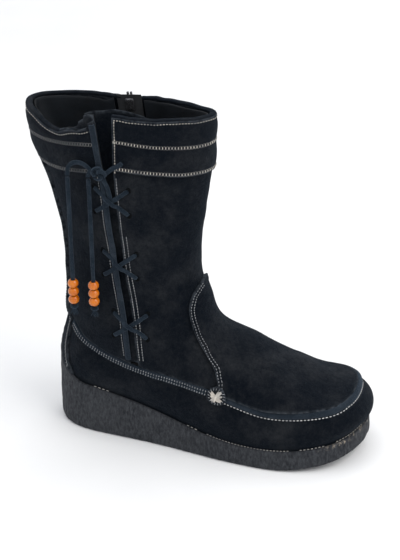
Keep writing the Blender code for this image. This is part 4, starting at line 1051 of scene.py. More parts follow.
def top_at(angle, below=0.0):
    """Height of the cuff's uneven upper edge at an angle round the shaft."""
    past_slit = (angle - 112.0) % 360.0
    dip = 3.4 * math.exp(-((past_slit / 34.0) ** 2))
    if past_slit >= 180:
        dip = 0.8 * math.exp(-(((360 - past_slit) / 26.0) ** 2))
    dip += 5.0 * math.exp(-(((angle % 360.0 - 250.0) / 52.0) ** 2))
    dip += 10.5 * math.exp(-(((angle % 360.0 - 148.0) / 17.0) ** 2)) - collar_lean(angle)
    dip += 4.0 * math.exp(-(((angle % 360.0 - 121.0) / 13.0) ** 2))
    sway = 0.9 * math.sin(math.radians(2 * angle + 30)) + 0.5 * math.sin(math.radians(5 * angle))
    turn = math.radians(angle)
    sway += 0.9 * noise.noise(Vector((6 * math.cos(turn), 6 * math.sin(turn), 3.0)))
    return SHAFT_TOP - below - dip + sway - 0.8


def make_shaft(suede):
    above = ROLL_WIDTH / 2 + 0.3
    top = lambda angle: top_at(angle, 2.0)
    lateral, medial = (seam_point(a, side, above)[1] for a, side in ((67.0, 1), (42.0, -1)))
    low = front_low(slit_front(lateral), zip_front(medial), above, widen=0.82)
    panel("shaft_front", 0.0, {1: slit_front, -1: zip_front}, low, top, -SUEDE, 0.0, suede)
    edge = slit_rear(seam_point(76.0, 1, above)[1])
    low = [seam_point(edge + (179.2 - edge) * k / 24, 1, above + 0.6) for k in range(25)]
    panel("shaft_rear_lateral", 180.0, {-1: slit_rear}, low, top, -SUEDE, 0.0, suede)
    angles = (180.8, 184, 188.5, 194, 200, 207, 215, 224, 235, 248, 263, 280, 296, zip_rear(31.0))
    low = [cup_point(a) for a in angles]
    panel("shaft_rear_medial", 180.0, {1: zip_rear}, low, top, -SUEDE, 0.0, suede, cup=True)


def make_cuffs(suede):
    """The two turned-down cuffs, padded between their three seams, and the bound rim above them."""

    def padded(distance, f, g):
        angles = start + (end - start) * f / 60.0
        tall = np.array([[top(a) - CUFF_LOW - collar_lean(a) for a in row] for row in angles])
        flat_rim = np.clip(((1 - g) * tall - 4.0) / 3.0, 0.0, 1.0)
        pad = 0.75 * np.abs(np.sin(np.pi * (g * tall - 2.6) / 22.6))
        return pad * flat_rim * (1 - np.exp(-((distance / 2) ** 2)))

    z = CUFF_LOW
    top = lambda angle: top_at(angle, 1.2)
    start, end = slit_front(z), zip_front(z)
    low = [(a, z + collar_lean(a)) for a in np.linspace(start, end, 61)]
    edges = {1: slit_front, -1: zip_front}
    panel("cuff_front", 0.0, edges, low, top, OVERLAY - 0.6, OVERLAY + 1.6, suede, relief=padded)
    start, end = slit_rear(z), zip_rear(z)
    low = [(a, z + collar_lean(a)) for a in np.linspace(start, end, 61)]
    edges = {-1: slit_rear, 1: zip_rear}
    panel("cuff_rear", 180.0, edges, low, top, OVERLAY - 0.6, OVERLAY + 1.6, suede, relief=padded)
    for name, start, end in (("front", slit_front(294), zip_front(294)),
        ("rear", slit_rear(294), zip_rear(294))):
        path = []
        for angle in np.linspace(start, end, 60 // FINE):
            point, _ = round_shaft(angle, top_at(angle, 1.4), -0.5)
            path.append((point, (0.0, 0.0, 1.0)))
        sweep(f"cuff_binding_{name}", path, oval(5.4, -1.4, 1.3, 12, 0.85), suede, "suede")


def make_backstay(suede):
    half = lambda z: float(np.interp(z, *zip(*BACKSTAY)))
    edges = {-1: lambda z: 180.0 - half(z), 1: lambda z: 180.0 + half(z)}
    above_tab = ((29.0, 52.4), (24.0, 56.6), (18.0, 63.0), (12.0, 70.6), (6.0, 77.2), (2.0, 81.4))
    above_tab = [(a, z - 1.5) for a, z in above_tab]
    low = [(180.0 - a, z) for a, z in above_tab] + [(180.0 + a, z) for a, z in above_tab[::-1]]
    fold = lambda distance, f, g: 0.4 * np.exp(-((distance / 2.6) ** 2))
    panel("backstay", 180.0, edges, low, CUFF_LOW - 2.2, 0.1, OVERLAY + 1.5, suede, follow=1.0, relief=fold)


def make_gusset(suede):
    """The soft bellows behind the lace slit. It folds inwards towards the top."""

    def place(f, g):
        top = SHAFT_TOP + 1.0 - 7.0 * (f - 0.35) ** 2 + 0.8 * noise.noise(Vector((6 * f, 1.0, 0.0)))
        z = 75.5 + (top - 75.5) * g
        open_top = float(smooth_step((z - 225.0) / 65.0))
        low = s_at(SLIT_REAR, z) - 5.0 - 3.0 * open_top
        high = s_at(SLIT_FRONT, z) + 5.0 + 23.0 * open_top
        point, normal = from_side(low + (high - low) * f, z, 1)
        inward = 2.2 * math.sin(math.pi * f) * float(smooth_step((z - 90.0) / 60.0))
        inward += open_top * (2.4 * f + 9.0 * math.sin(math.pi * f) ** 0.7)
        return point - inward * normal, normal

    inner = -SUEDE - OVERLAY - 1.0
    sheet("gusset_suede", place, steps(212, 3.0), steps(44, 2.0), inner, inner + 1.0, suede, "suede",
        ("slit_gusset",))


def make_lining(cloth):
    clear, depth = 13.0, -4.5
    above = ROLL_WIDTH / 2 + 3.2
    top = lambda angle: top_at(angle, 2.4)
    front = lambda z: zip_front(z, clear)
    rear = lambda z: zip_rear(z, clear)
    slit = lambda z: slit_front(max(z, 76.0)) - 2.0
    low = front_low(66.0, front(seam_point(42.0, -1, above)[1]), above, widen=1.15)
    panel("lining_front", 0.0, {1: slit, -1: front}, low, top, depth - 0.8, depth, cloth, slot="lining")
    behind = lambda z: float(np.interp(z, (72, 90), (90.6, slit_rear(max(z, 76.0)) + 2.0)))
    angles = (90.6, 105, 120, 134, 146, 156, 164, 171, 177, 183, 189, 196, 204, 214, 226, 240, 258, 278)
    low = [cup_point(a) for a in (*angles, rear(31.0))]
    panel("lining_rear", 180.0, {-1: behind, 1: rear}, low, top, depth - 0.8, depth, cloth, cup=True,
        slot="lining")


def seam_path(first, last, count):
    """Places on the moccasin seam between two ring positions, with the last's normals."""
    seam = WALL_RINGS[0]
    t = np.linspace(first, last, count)
    points = np.column_stack([np.interp((t % 2) * 240, WALL_NUMBERS, c) for c in seam.T])
    return [LAST.nearest(p) for p in points]


def seam_place(s, side):
    """Ring position of the seam at a distance from the heel's back."""
    seam = WALL_RINGS[0][:, 0]
    half = np.arange(241) if side > 0 else np.arange(480, 239, -1)
    return float(np.interp(s, seam[half], half / 240.0))


def make_rolls(highlit_suede):
    """The gathered roll round the toe and the flat strips behind the ornaments, in a paler suede that paints
    the highlight on these raised parts.
    """
    lateral, medial = seam_place(ORNAMENT[0], 1), seam_place(ORNAMENT[0], -1)
    rear, zipped = seam_place(18.0, 1), seam_place(zip_s(67.0) + ZIP_HALF_OPENING, -1)
    count = 260 // FINE
    gather = [1 + 0.07 * noise.noise(Vector((k * 0.45, 2.0, 0.0))) for k in range(count)]
    profile = oval(ROLL_WIDTH + 0.6, -1.2, 2.5, 14, 0.8)
    sweep("moc_roll_suede", seam_path(lateral, medial, count), profile, highlit_suede, "suede", widen=gather,
        stands_for=("moc_roll",))
    flat = [(-2.6, -0.9), (2.6, -0.9), (2.6, 0.9), (2.2, 1.5), (1.2, 1.6), (0.5, 1.0), (-0.5, 1.0),
        (-1.2, 1.6), (-2.2, 1.5), (-2.6, 0.9)]
    sweep("moc_strip_lateral_suede", seam_path(rear, lateral, 110 // FINE), flat, highlit_suede, "suede",
        stands_for=("moc_strip_lateral",))
    sweep("moc_strip_medial_suede", seam_path(medial, zipped, 44 // FINE), flat, highlit_suede, "suede",
        stands_for=("moc_strip_medial",))
    # The rolled slit edge takes the paler suede too: painted highlight on the fold.
    edge = [from_side(s_at(SLIT_REAR, z) - 1.2, z, 1) for z in np.linspace(80.0, top_at(111, 1.5),
        90 // FINE)]
    rise = [0.2 + 2.3 * float(smooth_step((p[2] - 243.0) / 5.0)) for p, _ in edge]
    wide = [1 + 0.12 * noise.noise(Vector((k * 0.2, 7.0, 0.0))) for k in range(len(edge))]
    sweep("slit_edge_rolled", edge, oval(4.6, -1.7, 1.5, 12, 0.8), highlit_suede, "suede", lift=rise,
        widen=wide)


# ---------------------------------------------------------------- ornaments
def make_ornaments(suede, cream, grey):
    for name, side in (("lateral", 1), ("medial", -1)):
        middle, normal = from_side(*ORNAMENT, side)
        ahead = unit(np.cross(np.array([0.0, 0.0, 1.0]), normal))
        upward = np.cross(normal, ahead)
        flat = lambda a, b, h: middle + a * ahead + b * upward + h * normal
        rings = []
        for k, h in ((0.0, 2.2), (0.93, 2.2), (1.0, 2.7), (1.0, 3.3), (0.94, 3.7), (0.6, 3.9), (0.02, 4.0)):
            ring = []
            for q in np.linspace(0, 2 * math.pi, 72, endpoint=False):
                fray = 1 + 0.07 * math.cos(3 * q + 0.7) + 0.10 * noise.noise(Vector((7 * math.cos(q),
                    7 * math.sin(q), side)))
                r = 8.2 * fray * max(k, 0.01)
                ring.append(flat(r * math.cos(q), r * math.sin(q), h))
            rings.append(ring)
        wear = np.repeat([0, 0.5, 1, 1, 0.6, 0, 0], 72)
        faces = rings_faces(7, 72)
        add_piece(f"ornament_patch_{name}_suede", np.vstack(rings), faces, suede, "suede",
                  stands_for=(f"ornament_patch_{name}",), wear=wear)
        cross, faces = [], []
        for number, (start, end, bow, height) in enumerate(CROSS_THREADS):
            t = np.linspace(0, 1, 14)[:, None]
            (a0, b0), (a1, b1) = np.array(start), np.array(end)
            line = np.array([flat(a0 + (a1 - a0) * k + bow * math.sin(math.pi * k),
                b0 + (b1 - b0) * k - bow * math.sin(math.pi * k),
                    3.7 + height * math.sin(math.pi * k) ** 0.6) for k in t.ravel()])
            swell_out = 0.55 + 0.6 * np.sin(np.pi * np.linspace(0, 1, 14)) ** 0.7
            rings = sweep_rings(line, np.tile(normal, (14, 1)), oval(2.1, -0.75, 0.75, 8), widen=swell_out)
            faces += rings_faces(14, 8, number * 112)
            cross.append(rings.reshape(-1, 3))
        add_piece(f"ornament_knot_{name}_cord", np.vstack(cross), faces, cream, "ornament_thread",
            stands_for=(f"ornament_knot_{name}",))
        small = Thread(0.3)
        for q in np.linspace(0, 2 * math.pi, 17, endpoint=False):
            a = flat(5.6 * math.cos(q), 5.6 * math.sin(q), 3.85)
            b = flat(7.9 * math.cos(q + 0.12), 7.9 * math.sin(q + 0.12), 3.4)
            small.stitch(a, b, normal)
        small.emit(f"ornament_stitches_{name}", grey)


# Threads of an ornament's cross: start, end, sideways bow and height over the patch, mm.
CROSS_THREADS = (
    ((-4.6, -3.4), (4.2, 3.9), 0.5, 0.9),
    ((-3.6, -4.4), (4.8, 2.8), 0.7, 1.1),
    ((-4.3, 3.9), (4.5, -3.6), 0.4, 1.9),
    ((-3.5, 4.7), (3.6, -4.5), -0.5, 2.1),
    ((-1.9, 4.6), (1.6, -4.9), 0.6, 2.5),
    ((-4.9, 0.7), (4.9, -0.4), 0.3, 1.6),
)


# ---------------------------------------------------------------- laces
def lace_profile(width=LACE_WIDTH, low=0.0, high=LACE_THICKNESS):
    return oval(width, low, high, 12, 0.62)


def make_crossings(lace, dark):
    """The crossed straps over the slit, and near-black discs at the punched holes their ends go into:
    painted shade inside the holes.
    """
    share = np.linspace(-1, 1, 45 // FINE)
    for number, (s, z) in enumerate(CROSSINGS, 1):
        holes, faces = [], []
        for name, slope in (("under", 1), ("over", -1)):
            bend = [1.2 * noise.noise(Vector((k * 0.9, number, slope))) for k in share]
            path = [from_side(s + k * CROSS_REACH[0], z + slope * k * CROSS_REACH[1] + w, 1) for k,
                w in zip(share, bend)]
            over = LACE_THICKNESS + 0.5 if name == "over" else 0.0
            rise = over * smooth_step((0.42 - np.abs(share)) / 0.25)
            rise = rise - 2.0 * smooth_step((np.abs(share) - 0.9) / 0.1) + 0.5 * np.cos(share * 2.6)
            wide = [1 + 0.14 * noise.noise(Vector((k * 5, number, 2.0 + slope))) for k in share]
            sweep(f"lace_{name}_{number}_strap", path, lace_profile(), lace, "lace_suede", lift=rise + 0.3,
                widen=wide, stands_for=(f"lace_{name}_{number}",))
            # A near-black disc at each strap end: painted shade inside the punched hole.
            for end in (-0.97, 0.97):
                middle, normal = from_side(s + end * CROSS_REACH[0], z + slope * end * CROSS_REACH[1], 1,
                    0.1)
                side = unit(np.cross(normal, (0.0, 0.0, 1.0)))
                upward = np.cross(side, normal)
                turn = np.linspace(0, 2 * math.pi, 18, endpoint=False)
                round_hole = [math.cos(q) * side * 0.8 + math.sin(q) * upward for q in turn]
                rings = [[middle + r * spoke + h * normal for spoke in round_hole]
                         for r, h in ((0.05, 0.1), (1.6, 0.15), (2.0, 0.5), (2.5, 0.45), (2.8, 0.0),
                             (2.6, -0.5), (0.05, -0.5))]
                faces += rings_faces(7, 18, len(holes))
                holes += list(np.vstack(rings))
        add_piece(f"lace_holes_{number}", np.array(holes), faces, dark, "lace_suede")


def make_tie(lace):
    """The knot at the top of the slit, its short tail, the arch towards the rear end and the riser."""
    low, high = (np.array(corner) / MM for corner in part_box("lace_knot"))
    middle = np.array([(SOLE_BACK / MM) - (low[1] + high[1]) / 2, -(low[0] + high[0]) / 2,
        (low[2] + high[2]) / 2])
    turn = np.linspace(0, 2 * math.pi, 110, endpoint=False)
    loops = []
    for q in turn:
        r = 1 + 0.5 * math.cos(3 * q)
        loops.append(middle + (4.1 * r * math.cos(2 * q), 0.5 + 1.9 * math.sin(3 * q),
            3.3 * r * math.sin(2 * q)))
    facing = [unit(p - middle + np.array([0.0, 2.0, 0.0])) for p in loops]
    path = list(zip(loops, facing))
    sweep("lace_knot_tied", path, oval(3.4, -0.75, 0.75, 10, 0.62), lace, "lace_suede", closed=True,
        stands_for=("lace_knot",))
    outward_side = (0.0, 1.0, 0.0)
    flat = oval(LACE_WIDTH, -0.65, 0.65, 12, 0.62)
    arch = smooth_curve(((53.0, 250.0), (50.4, 253.2), (46.0, 257.4), (40.5, 259.2), (35.0, 257.6),
        (31.8, 253.4), (31.0, 247.2)), 40)
    path = [((s, LACE_PLANE, z), outward_side) for s, z in arch]
    sweep("lace_arch_strap", path, flat, lace, "lace_suede", stands_for=("lace_arch",))
    short = smooth_curve(((55.5, 251.2), (53.0, 253.0), (50.6, 252.6), (49.0, 250.6), (48.5, 247.6)), 24)
    path = [((s, LACE_PLANE + 0.6, z), outward_side) for s, z in short]
    sweep("lace_bend_strap", path, flat, lace, "lace_suede")
    tail = smooth_curve(((60.0, 44.3, 250.0), (64.0, 44.6, 252.6), (68.0, 44.4, 256.0), (72.5, 44.8, 258.6),
        (77.0, 45.8, 262.5)), 30)
    sweep("lace_tail_strap", [(p, (0.1, 1.0, 0.1)) for p in tail], flat, lace, "lace_suede",
        stands_for=("lace_tail",))
    riser = [from_side(s, z, 1) for s,
        z in smooth_curve(((59.0, 248.0), (60.0, 243.0), (61.4, 238.0), (63.2, 230.0), (64.0, 226.0)), 24)]
    rise = 0.9 + 2.2 * smooth_step((np.linspace(1, 0, 24) - 0.5) / 0.3)
    sweep("lace_riser_strap", riser, lace_profile(), lace, "lace_suede", lift=rise,
        stands_for=("lace_riser",))


def smooth_curve(knots, count):
    knots = np.array(knots, float)
    length = np.concatenate([[0], np.cumsum(np.linalg.norm(np.diff(knots, axis=0), axis=1))])
    return np.column_stack([spline(length, c, np.linspace(0, length[-1], count)) for c in knots.T])


def make_lace_ends(lace, wood):
    for name in ("rear", "front"):
        low, high = (np.array(corner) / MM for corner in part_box(f"lace_end_{name}"))
        s, x = SOLE_BACK / MM - (low[1] + high[1]) / 2, -(low[0] + high[0]) / 2
        heights = np.linspace(high[2], low[2], 70)
        wide = [1 + 0.1 * noise.noise(Vector((z / 9.0, s, 0.0))) for z in heights]
        twist = [0.7 * noise.noise(Vector((z / 34.0, s, 5.0))) for z in heights]
        path = [((s, x, z), (math.sin(q), math.cos(q), 0.0)) for z, q in zip(heights, twist)]
        sweep(f"lace_end_{name}_strand", path, oval(LACE_WIDTH, -0.65, 0.65, 12, 0.62), lace, "lace_suede",
              widen=wide, body=f"lace_end_{name}", stands_for=(f"lace_end_{name}",))
        make_end_knot(name, s, x, low[2], lace)
        for number in (1, 2, 3):
            make_bead(name, number, wood)


def make_end_knot(name, s, x, bottom, lace):
    """The knot under the beads and the frayed end of the lace below it."""
    turn = np.linspace(0, 2 * math.pi, 20, endpoint=False)
    rings = []
    for h, wide, thick in ((0.3, 1.2, 1.0), (0.6, 2.2, 2.0), (1.6, 3.1, 2.7), (2.8, 3.3, 2.9),
        (3.8, 2.8, 2.3), (4.6, 1.7, 1.4), (4.9, 0.9, 0.8)):
        rough = [1 + 0.13 * noise.noise(Vector((2 * math.cos(q), 2 * math.sin(q), h + s))) for q in turn]
        rings.append([(s + k * wide * math.cos(q), x + k * thick * math.sin(q), bottom - h) for q,
            k in zip(turn, rough)])
    points, faces = [np.vstack(rings)], rings_faces(7, 20)
    for number, (lean, out, length) in enumerate(((-0.55, 0.2, 6.2), (-0.2, -0.3, 7.4), (0.1, 0.35, 6.6),
        (0.38, -0.1, 7.0), (0.62, 0.2, 5.2))):
        line = [(s + lean * k * 5.5, x + out * k * 3, bottom - 3.6 - length * k) for k in np.linspace(0, 1,
            6)]
        facing = np.tile((0.0, 1.0, 0.0), (6, 1))
        strip = sweep_rings(line, facing, oval(1.5, -0.45, 0.45, 6), widen=(0.8, 1.1, 1.1, 1.0, 0.8, 0.35))
        faces += rings_faces(6, 6, 140 + number * 36)
        points.append(strip.reshape(-1, 3))
    add_piece(f"lace_end_knot_{name}_frayed", np.vstack(points), faces, lace, "lace_suede",
              body=f"lace_end_{name}", stands_for=(f"lace_end_knot_{name}",))


def make_bead(name, number, wood):
    node = f"bead_{name}_{number}"
    low, high = (np.array(corner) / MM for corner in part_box(node))
    s, x, z = SOLE_BACK / MM - (low[1] + high[1]) / 2, -(low[0] + high[0]) / 2, (low[2] + high[2]) / 2
    radius, half, bore = 1.06 * (high[0] - low[0]) / 2, (high[2] - low[2]) / 2, 2.0
    arc = np.linspace(-1.0, 1.0, 17)
    waist = [math.sin(k * math.pi / 2) for k in arc]
    outside = [(radius * math.sqrt(1 - 0.72 * h**2), half * h) for h in waist]
    profile = [(bore, -half * 0.9), (bore + 0.3, -half), *outside, (bore + 0.3, half), (bore, half * 0.9)]
    turn = np.linspace(0, 2 * math.pi, 32, endpoint=False)
    rings = np.array([[(s + r * math.cos(q), x + r * math.sin(q), z + h) for r,
        h in profile] for q in turn])
    faces = rings_faces(32, len(profile), closed=True)
    add_piece(f"{node}_turned", rings.reshape(-1, 3), faces, wood, "bead_wood", body=f"beads_{name}",
        stands_for=(node,))


# ---------------------------------------------------------------- zip
def zip_frame():
    """Top of the zip's centre line, its downward direction and its outward direction."""
    top, first = from_side(*ZIP_TOP, -1)
    ankle, second = from_side(*ZIP_ANKLE, -1)
    down = unit(ankle - top)
    normal = first + second
    normal -= (normal @ down) * down
    return top, down, unit(normal)


def zip_path(from_top, lowest, spacing):
    """Places down the zip's centre line, evenly spaced: straight to the ankle, then following the last."""
    top, down, normal = zip_frame()
    length = (ZIP_TOP[1] - ZIP_ANKLE[1]) / -down[2]
    path = [(*(top + down * k), *normal) for k in np.linspace(from_top, length, 16)]
    heights = [z for z in (141, 131, 122, 113, 104, 95, 86, 77, 69, 62, 55, 48, 42, 37, 32) if z > lowest]
    lower = [from_side(zip_s(z), z, -1) for z in (*heights, lowest)]
    blend = [smooth_step((ZIP_ANKLE[1] - q[2]) / 30.0) for q, _ in lower]
    lower = np.array([(*q, *((1 - b) * normal + b * n)) for b, (q, n) in zip(blend, lower)])
    for _ in range(4):
        lower[1:-1] = (lower[:-2] + 2 * lower[1:-1] + lower[2:]) / 4
    rows = np.vstack([path, lower])
    total = np.sum(np.linalg.norm(np.diff(rows[:, :3], axis=0), axis=1))
    rows = along_rows(rows, int(total / spacing))
    return [(row[:3], row[3:]) for row in rows]


def along_rows(rows, count):
    """Rows that begin with a place, evenly spaced along a smooth curve through the places."""
    length = np.concatenate([[0], np.cumsum(np.linalg.norm(np.diff(rows[:, :3], axis=0), axis=1))])
    at = np.linspace(0, length[-1], count)
    return np.column_stack([spline(length, c, at) for c in rows.T])


def make_zip(tape, coil, metal, thread):
    """Woven tapes, a coil of moulded teeth on each, end stops, and the stitched edges of the opening."""
    for name, side in (("front", 1), ("rear", -1)):
        ribbed = [
            (0.06, -3.1), (3.4, -3.2), (10.5, -3.5), (10.7, -3.2), (10.5, -2.9),
            (4.6, -2.75), (4.1, -2.5), (3.7, -2.72), (2.5, -2.75), (0.06, -2.65),
        ]
        profile = [(side * a, b) for a, b in ribbed]
        sweep(f"zip_tape_{name}_woven", zip_path(0.0, 33.0, 4.0), profile, tape, "zip_tape",
            stands_for=(f"zip_tape_{name}",))
        points, normals = (np.array(a) for a in zip(*zip_path(2.0, 36.0, 0.8 * FINE)))
        ahead = unit(np.gradient(points, axis=0))
        across = unit(np.cross(normals, ahead)) * side
        teeth, faces = [], []
        for k in range(0 if side > 0 else 1, len(points) - 1, 2):
            p, n, a, c = points[k], normals[k], ahead[k], across[k]
            rings = []
            for reach, wide, low, high in ((-0.35, 0.3, -1.8, -1.0), (0.1, 0.55, -2.0, -0.6),
                (1.3, 0.4, -2.15, -0.5), (1.9, 0.4, -2.2, -0.55), (2.35, 0.5, -2.3, -0.9)):
                rings.append([p + reach * c + w * a + h * n for w,
                    h in ((-wide, low), (wide, low), (wide, high - 0.25), (wide * 0.5, high),
                        (-wide * 0.5, high), (-wide, high - 0.25))])
            faces += rings_faces(5, 6, len(teeth))
            teeth += list(np.vstack(rings))
        add_piece(f"zip_coil_{name}_teeth", np.array(teeth), faces, coil, "zip_coil",
            stands_for=(f"zip_coil_{name}",))
        top, down, normal = zip_frame()
        stop = [(side * 1.475 + a, b) for a, b in oval(2.0, -2.3, -0.3, 12, 0.7)]
        line = [(top + down * k, normal) for k in np.linspace(-1.6, 1.2, 5)]
        sweep(f"zip_top_stop_{name}_crimped", line, stop, metal, "zip_metal", widen=(0.97, 1, 1, 1, 0.97),
            stands_for=(f"zip_top_stop_{name}",))
    end = [from_side(zip_s(z), z, -1) for z in np.linspace(35.6, 32.2, 5)]
    sweep("zip_bottom_stop_crimped", end, oval(5.4, -2.3, -0.2, 14, 0.6), metal, "zip_metal",
        widen=(0.85, 1, 1, 1, 0.85), stands_for=("zip_bottom_stop",))
    rows = Thread(0.3)
    for side in (1, -1):
        line = [from_side(zip_s(z) + side * (ZIP_HALF_OPENING + 2.2), z, -1)[0] for z in np.arange(50.0,
            246.0, 3.0)]
        rows.row(line, 0.05)
        line = [from_side(zip_s(z) + side * (ZIP_HALF_OPENING + 2.2), z, -1)[0] for z in np.arange(250.0,
            292.0, 3.0)]
        rows.row(line, OVERLAY + 1.7)
    rows.emit("zip_edge_stitches", thread)


def make_slider(metal):
    """The slider with its bridge, and the pull: a waisted tab hanging on the bridge."""
    joints = {j["name"]: j for j in frame["joints"]}
    top, down, normal = zip_frame()
    place = top + down * 3.2
    half = [(0.25, -3.7), (3.2, -3.7), (3.6, -3.95), (3.6, -4.35), (3.3, -4.6)]
    right = [(3.6, -2.1), (3.35, -2.3), (2.95, -2.3), (2.7, -2.05), (2.7, -0.25), (2.5, -0.1), (0.25, -0.1),
        *half]
    left = [(-a, b) for a, b in right[::-1]]
    ribs = [(-3.6, 2.5), (-3.3, 2.9), (-2.9, 2.9), (-2.7, 2.6), (-2.7, 1.2), (-2.4, 1.0), (2.4, 1.0),
        (2.7, 1.2), (2.7, 2.6), (2.9, 2.9), (3.3, 2.9), (3.6, 2.5)]
    profile = ribs + right + left
    line = [(place + down * k, normal) for k in (0.0, 0.35, 2.5, 5.2, 8.0, 10.15, 10.5)]
    widen = (0.86, 0.97, 1.03, 1.0, 0.96, 0.9, 0.8)
    sweep("zip_slider_body", line, profile, metal, "zip_metal", widen=widen, body="zip_slider",
        stands_for=("zip_slider",))
    across = np.cross(normal, down)
    hinge = joints["zip_pull_hinge"]["pos_m"]
    pivot = np.array([(SOLE_BACK - hinge[1]) / MM, -hinge[0] / MM, hinge[2] / MM])
    outline = []
    for q in np.linspace(-1.1, 1.1, 8):
        outline.append((-0.9 * math.cos(q), 0.9 * math.sin(q)))
    outline += [(4.0, 0.5), (10.0, 0.4), (16.0, 0.45), (19.0, 0.85), (23.2, 0.9), (24.0, 0.5)]
    outline += [(24.0, -0.2), (23.2, -0.5), (16.0, -0.45), (10.0, -0.4), (4.0, -0.5)]
    width = np.interp([a for a, _ in outline], (0, 3, 8, 15, 21, 24), (2.05, 2.05, 1.5, 1.9, 2.2, 1.9))
    rings = []
    for c, inset in ((-1.0, 0.55), (-0.93, 0.15), (-0.75, 0.0), (0.75, 0.0), (0.93, 0.15), (1.0, 0.55)):
        rings.append([pivot + down * a + normal * (b * (1 - inset * 0.6) + 0.04) + across * c * w for (a,
            b), w in zip(outline, width)])
    faces = rings_faces(6, len(outline))
    add_piece("zip_pull_tab", np.vstack(rings), faces, metal, "zip_metal", body="zip_pull",
        stands_for=("zip_pull",))


# ---------------------------------------------------------------- stitching
def beside_slit(edge, shift, low, high, step=3.0):
    """Places beside an edge of the slit, moved forward by shift, at evenly rising heights."""
    return [from_side(s_at(edge, z) + shift, z, 1)[0] for z in np.arange(low, high, step)]


def stitch_cuffs(cream, dim_and_shaded_thread):
    for name, start, end in (("front", slit_front, zip_front), ("rear", slit_rear, zip_rear)):
        rungs, rows, rims = Thread(0.42 if name == "front" else 0.26), Thread(0.17), Thread(0.36)
        for z in (CUFF_LOW + 2.6, CUFF_LOW + 25.2, SHAFT_TOP - 3.4):
            rim = z > SHAFT_TOP - 10
            at = (lambda a, z=z, rim=rim: top_at(a, 3.4) if rim else z + collar_lean(a))
            first, last = start(z), end(z)
            inset = 2.0 if last > first else -2.0
            line = [round_shaft(a, at(a))[0] for a in np.linspace(first + inset, last - inset, 120 // FINE)]
            if rim:
                rims.row(line, OVERLAY + 1.75, 0.0, 2.4, 0.5)
                continue
            rows.row(line, OVERLAY + 1.7, 1.3, 2.4, 0.5)
            rows.row(line, OVERLAY + 1.7, -1.3, 2.4, 0.5)
            rungs.rungs(line, OVERLAY + 1.75, 0.0, 1.2, 2.4)
        # The rear cuff's rungs take the dim thread: painted shade of the cream thread. The rows on both
        # cuffs take it as their duller tone.
        rungs.emit(f"cuff_{name}_rungs", cream if name == "front" else dim_and_shaded_thread)
        rows.emit(f"cuff_{name}_rows", dim_and_shaded_thread)
        rims.emit(f"cuff_{name}_rim_stitches", cream)
    rows = Thread(0.42)
    line = beside_slit(SLIT_FRONT, 2.2, CUFF_LOW + 2, top_at(88) - 2, 2.5)
    rows.row(line, OVERLAY + 1.75)
    rows.emit("cuff_slit_stitches", cream)


def stitch_slit(grey):
    rows = Thread(0.34)
    rows.row(beside_slit(SLIT_FRONT, 2.0, 80.0, CUFF_LOW), 0.1)
    rows.row(beside_slit(SLIT_FRONT, 5.2, 80.0, 196.0), 0.1)
    rows.row(beside_slit(SLIT_REAR, -4.9, 82.0, CUFF_LOW), 0.1)
    rows.emit("slit_stitches", grey)


def stitch_plug(grey):
    """The double row along the tongue's folded border, up each side to its peak."""
    number, side, row = tongue_edge()
    rows = Thread(0.3)
    for first, last in ((-0.985, -0.09), (0.09, 0.985)):
        at = np.linspace(first, last, 50)
        line = [LAST.nearest(last_point([np.interp(c, number, side)],
            [np.interp(c, number, row)])[0])[0] for c in at]
        for shift in (1.3, 3.7):
            rows.row(np.array(line), OVERLAY + SUEDE + 0.5, TONGUE_SIDE * shift, 2.5, 0.66)
    rows.emit("tongue_stitches", grey)


def stitch_seam(white, grey):
    """White stitches under the toe roll, and whip stitches along the strips behind the ornaments."""
    lateral, medial = seam_place(ORNAMENT[0], 1), seam_place(ORNAMENT[0], -1)
    rear, zipped = seam_place(20.0, 1), seam_place(zip_s(67.0) + ZIP_HALF_OPENING + 1, -1)
    rows = Thread(0.45)
    line = np.array([p for p, _ in seam_path(lateral + 0.02, medial - 0.02, 160)])
    rows.row(line, 0.2, SEAM_SIDE * 3.6, 2.9, 0.62)
    rows.emit("toe_seam_stitches", white)
    rows = Thread(0.34)
    for first, last in ((rear, lateral - 0.02), (medial + 0.02, zipped)):
        line = np.array([p for p, _ in seam_path(first, last, 60)])
        for shift in (-1.7, 1.7):
            rows.rungs(line, 1.75, shift, 0.75, 2.3)
    rows.emit("side_seam_stitches", grey)


def stitch_backstay(grey):
    rows = Thread(0.32)
    for side in (-1, 1):
        line = []
        for z in np.arange(58.0, CUFF_LOW - 5.0, 3.0):
            half = float(np.interp(z, *zip(*BACKSTAY)))
            line.append(round_shaft(180.0 + side * half, z)[0])
        line = np.array(line)
        rows.row(line, OVERLAY + 1.85, -side * BACK_SIDE * 1.4, 2.6, 0.6)
        rows.rungs(line, OVERLAY + 1.8, -side * BACK_SIDE * 2.8, 0.9, 2.6)
    rows.emit("backstay_stitches", grey)


# Which side of its path each row of stitches lies on: 1 is left of the way the path runs, seen from outside.
TONGUE_SIDE = -1
SEAM_SIDE = 1
BACK_SIDE = -1


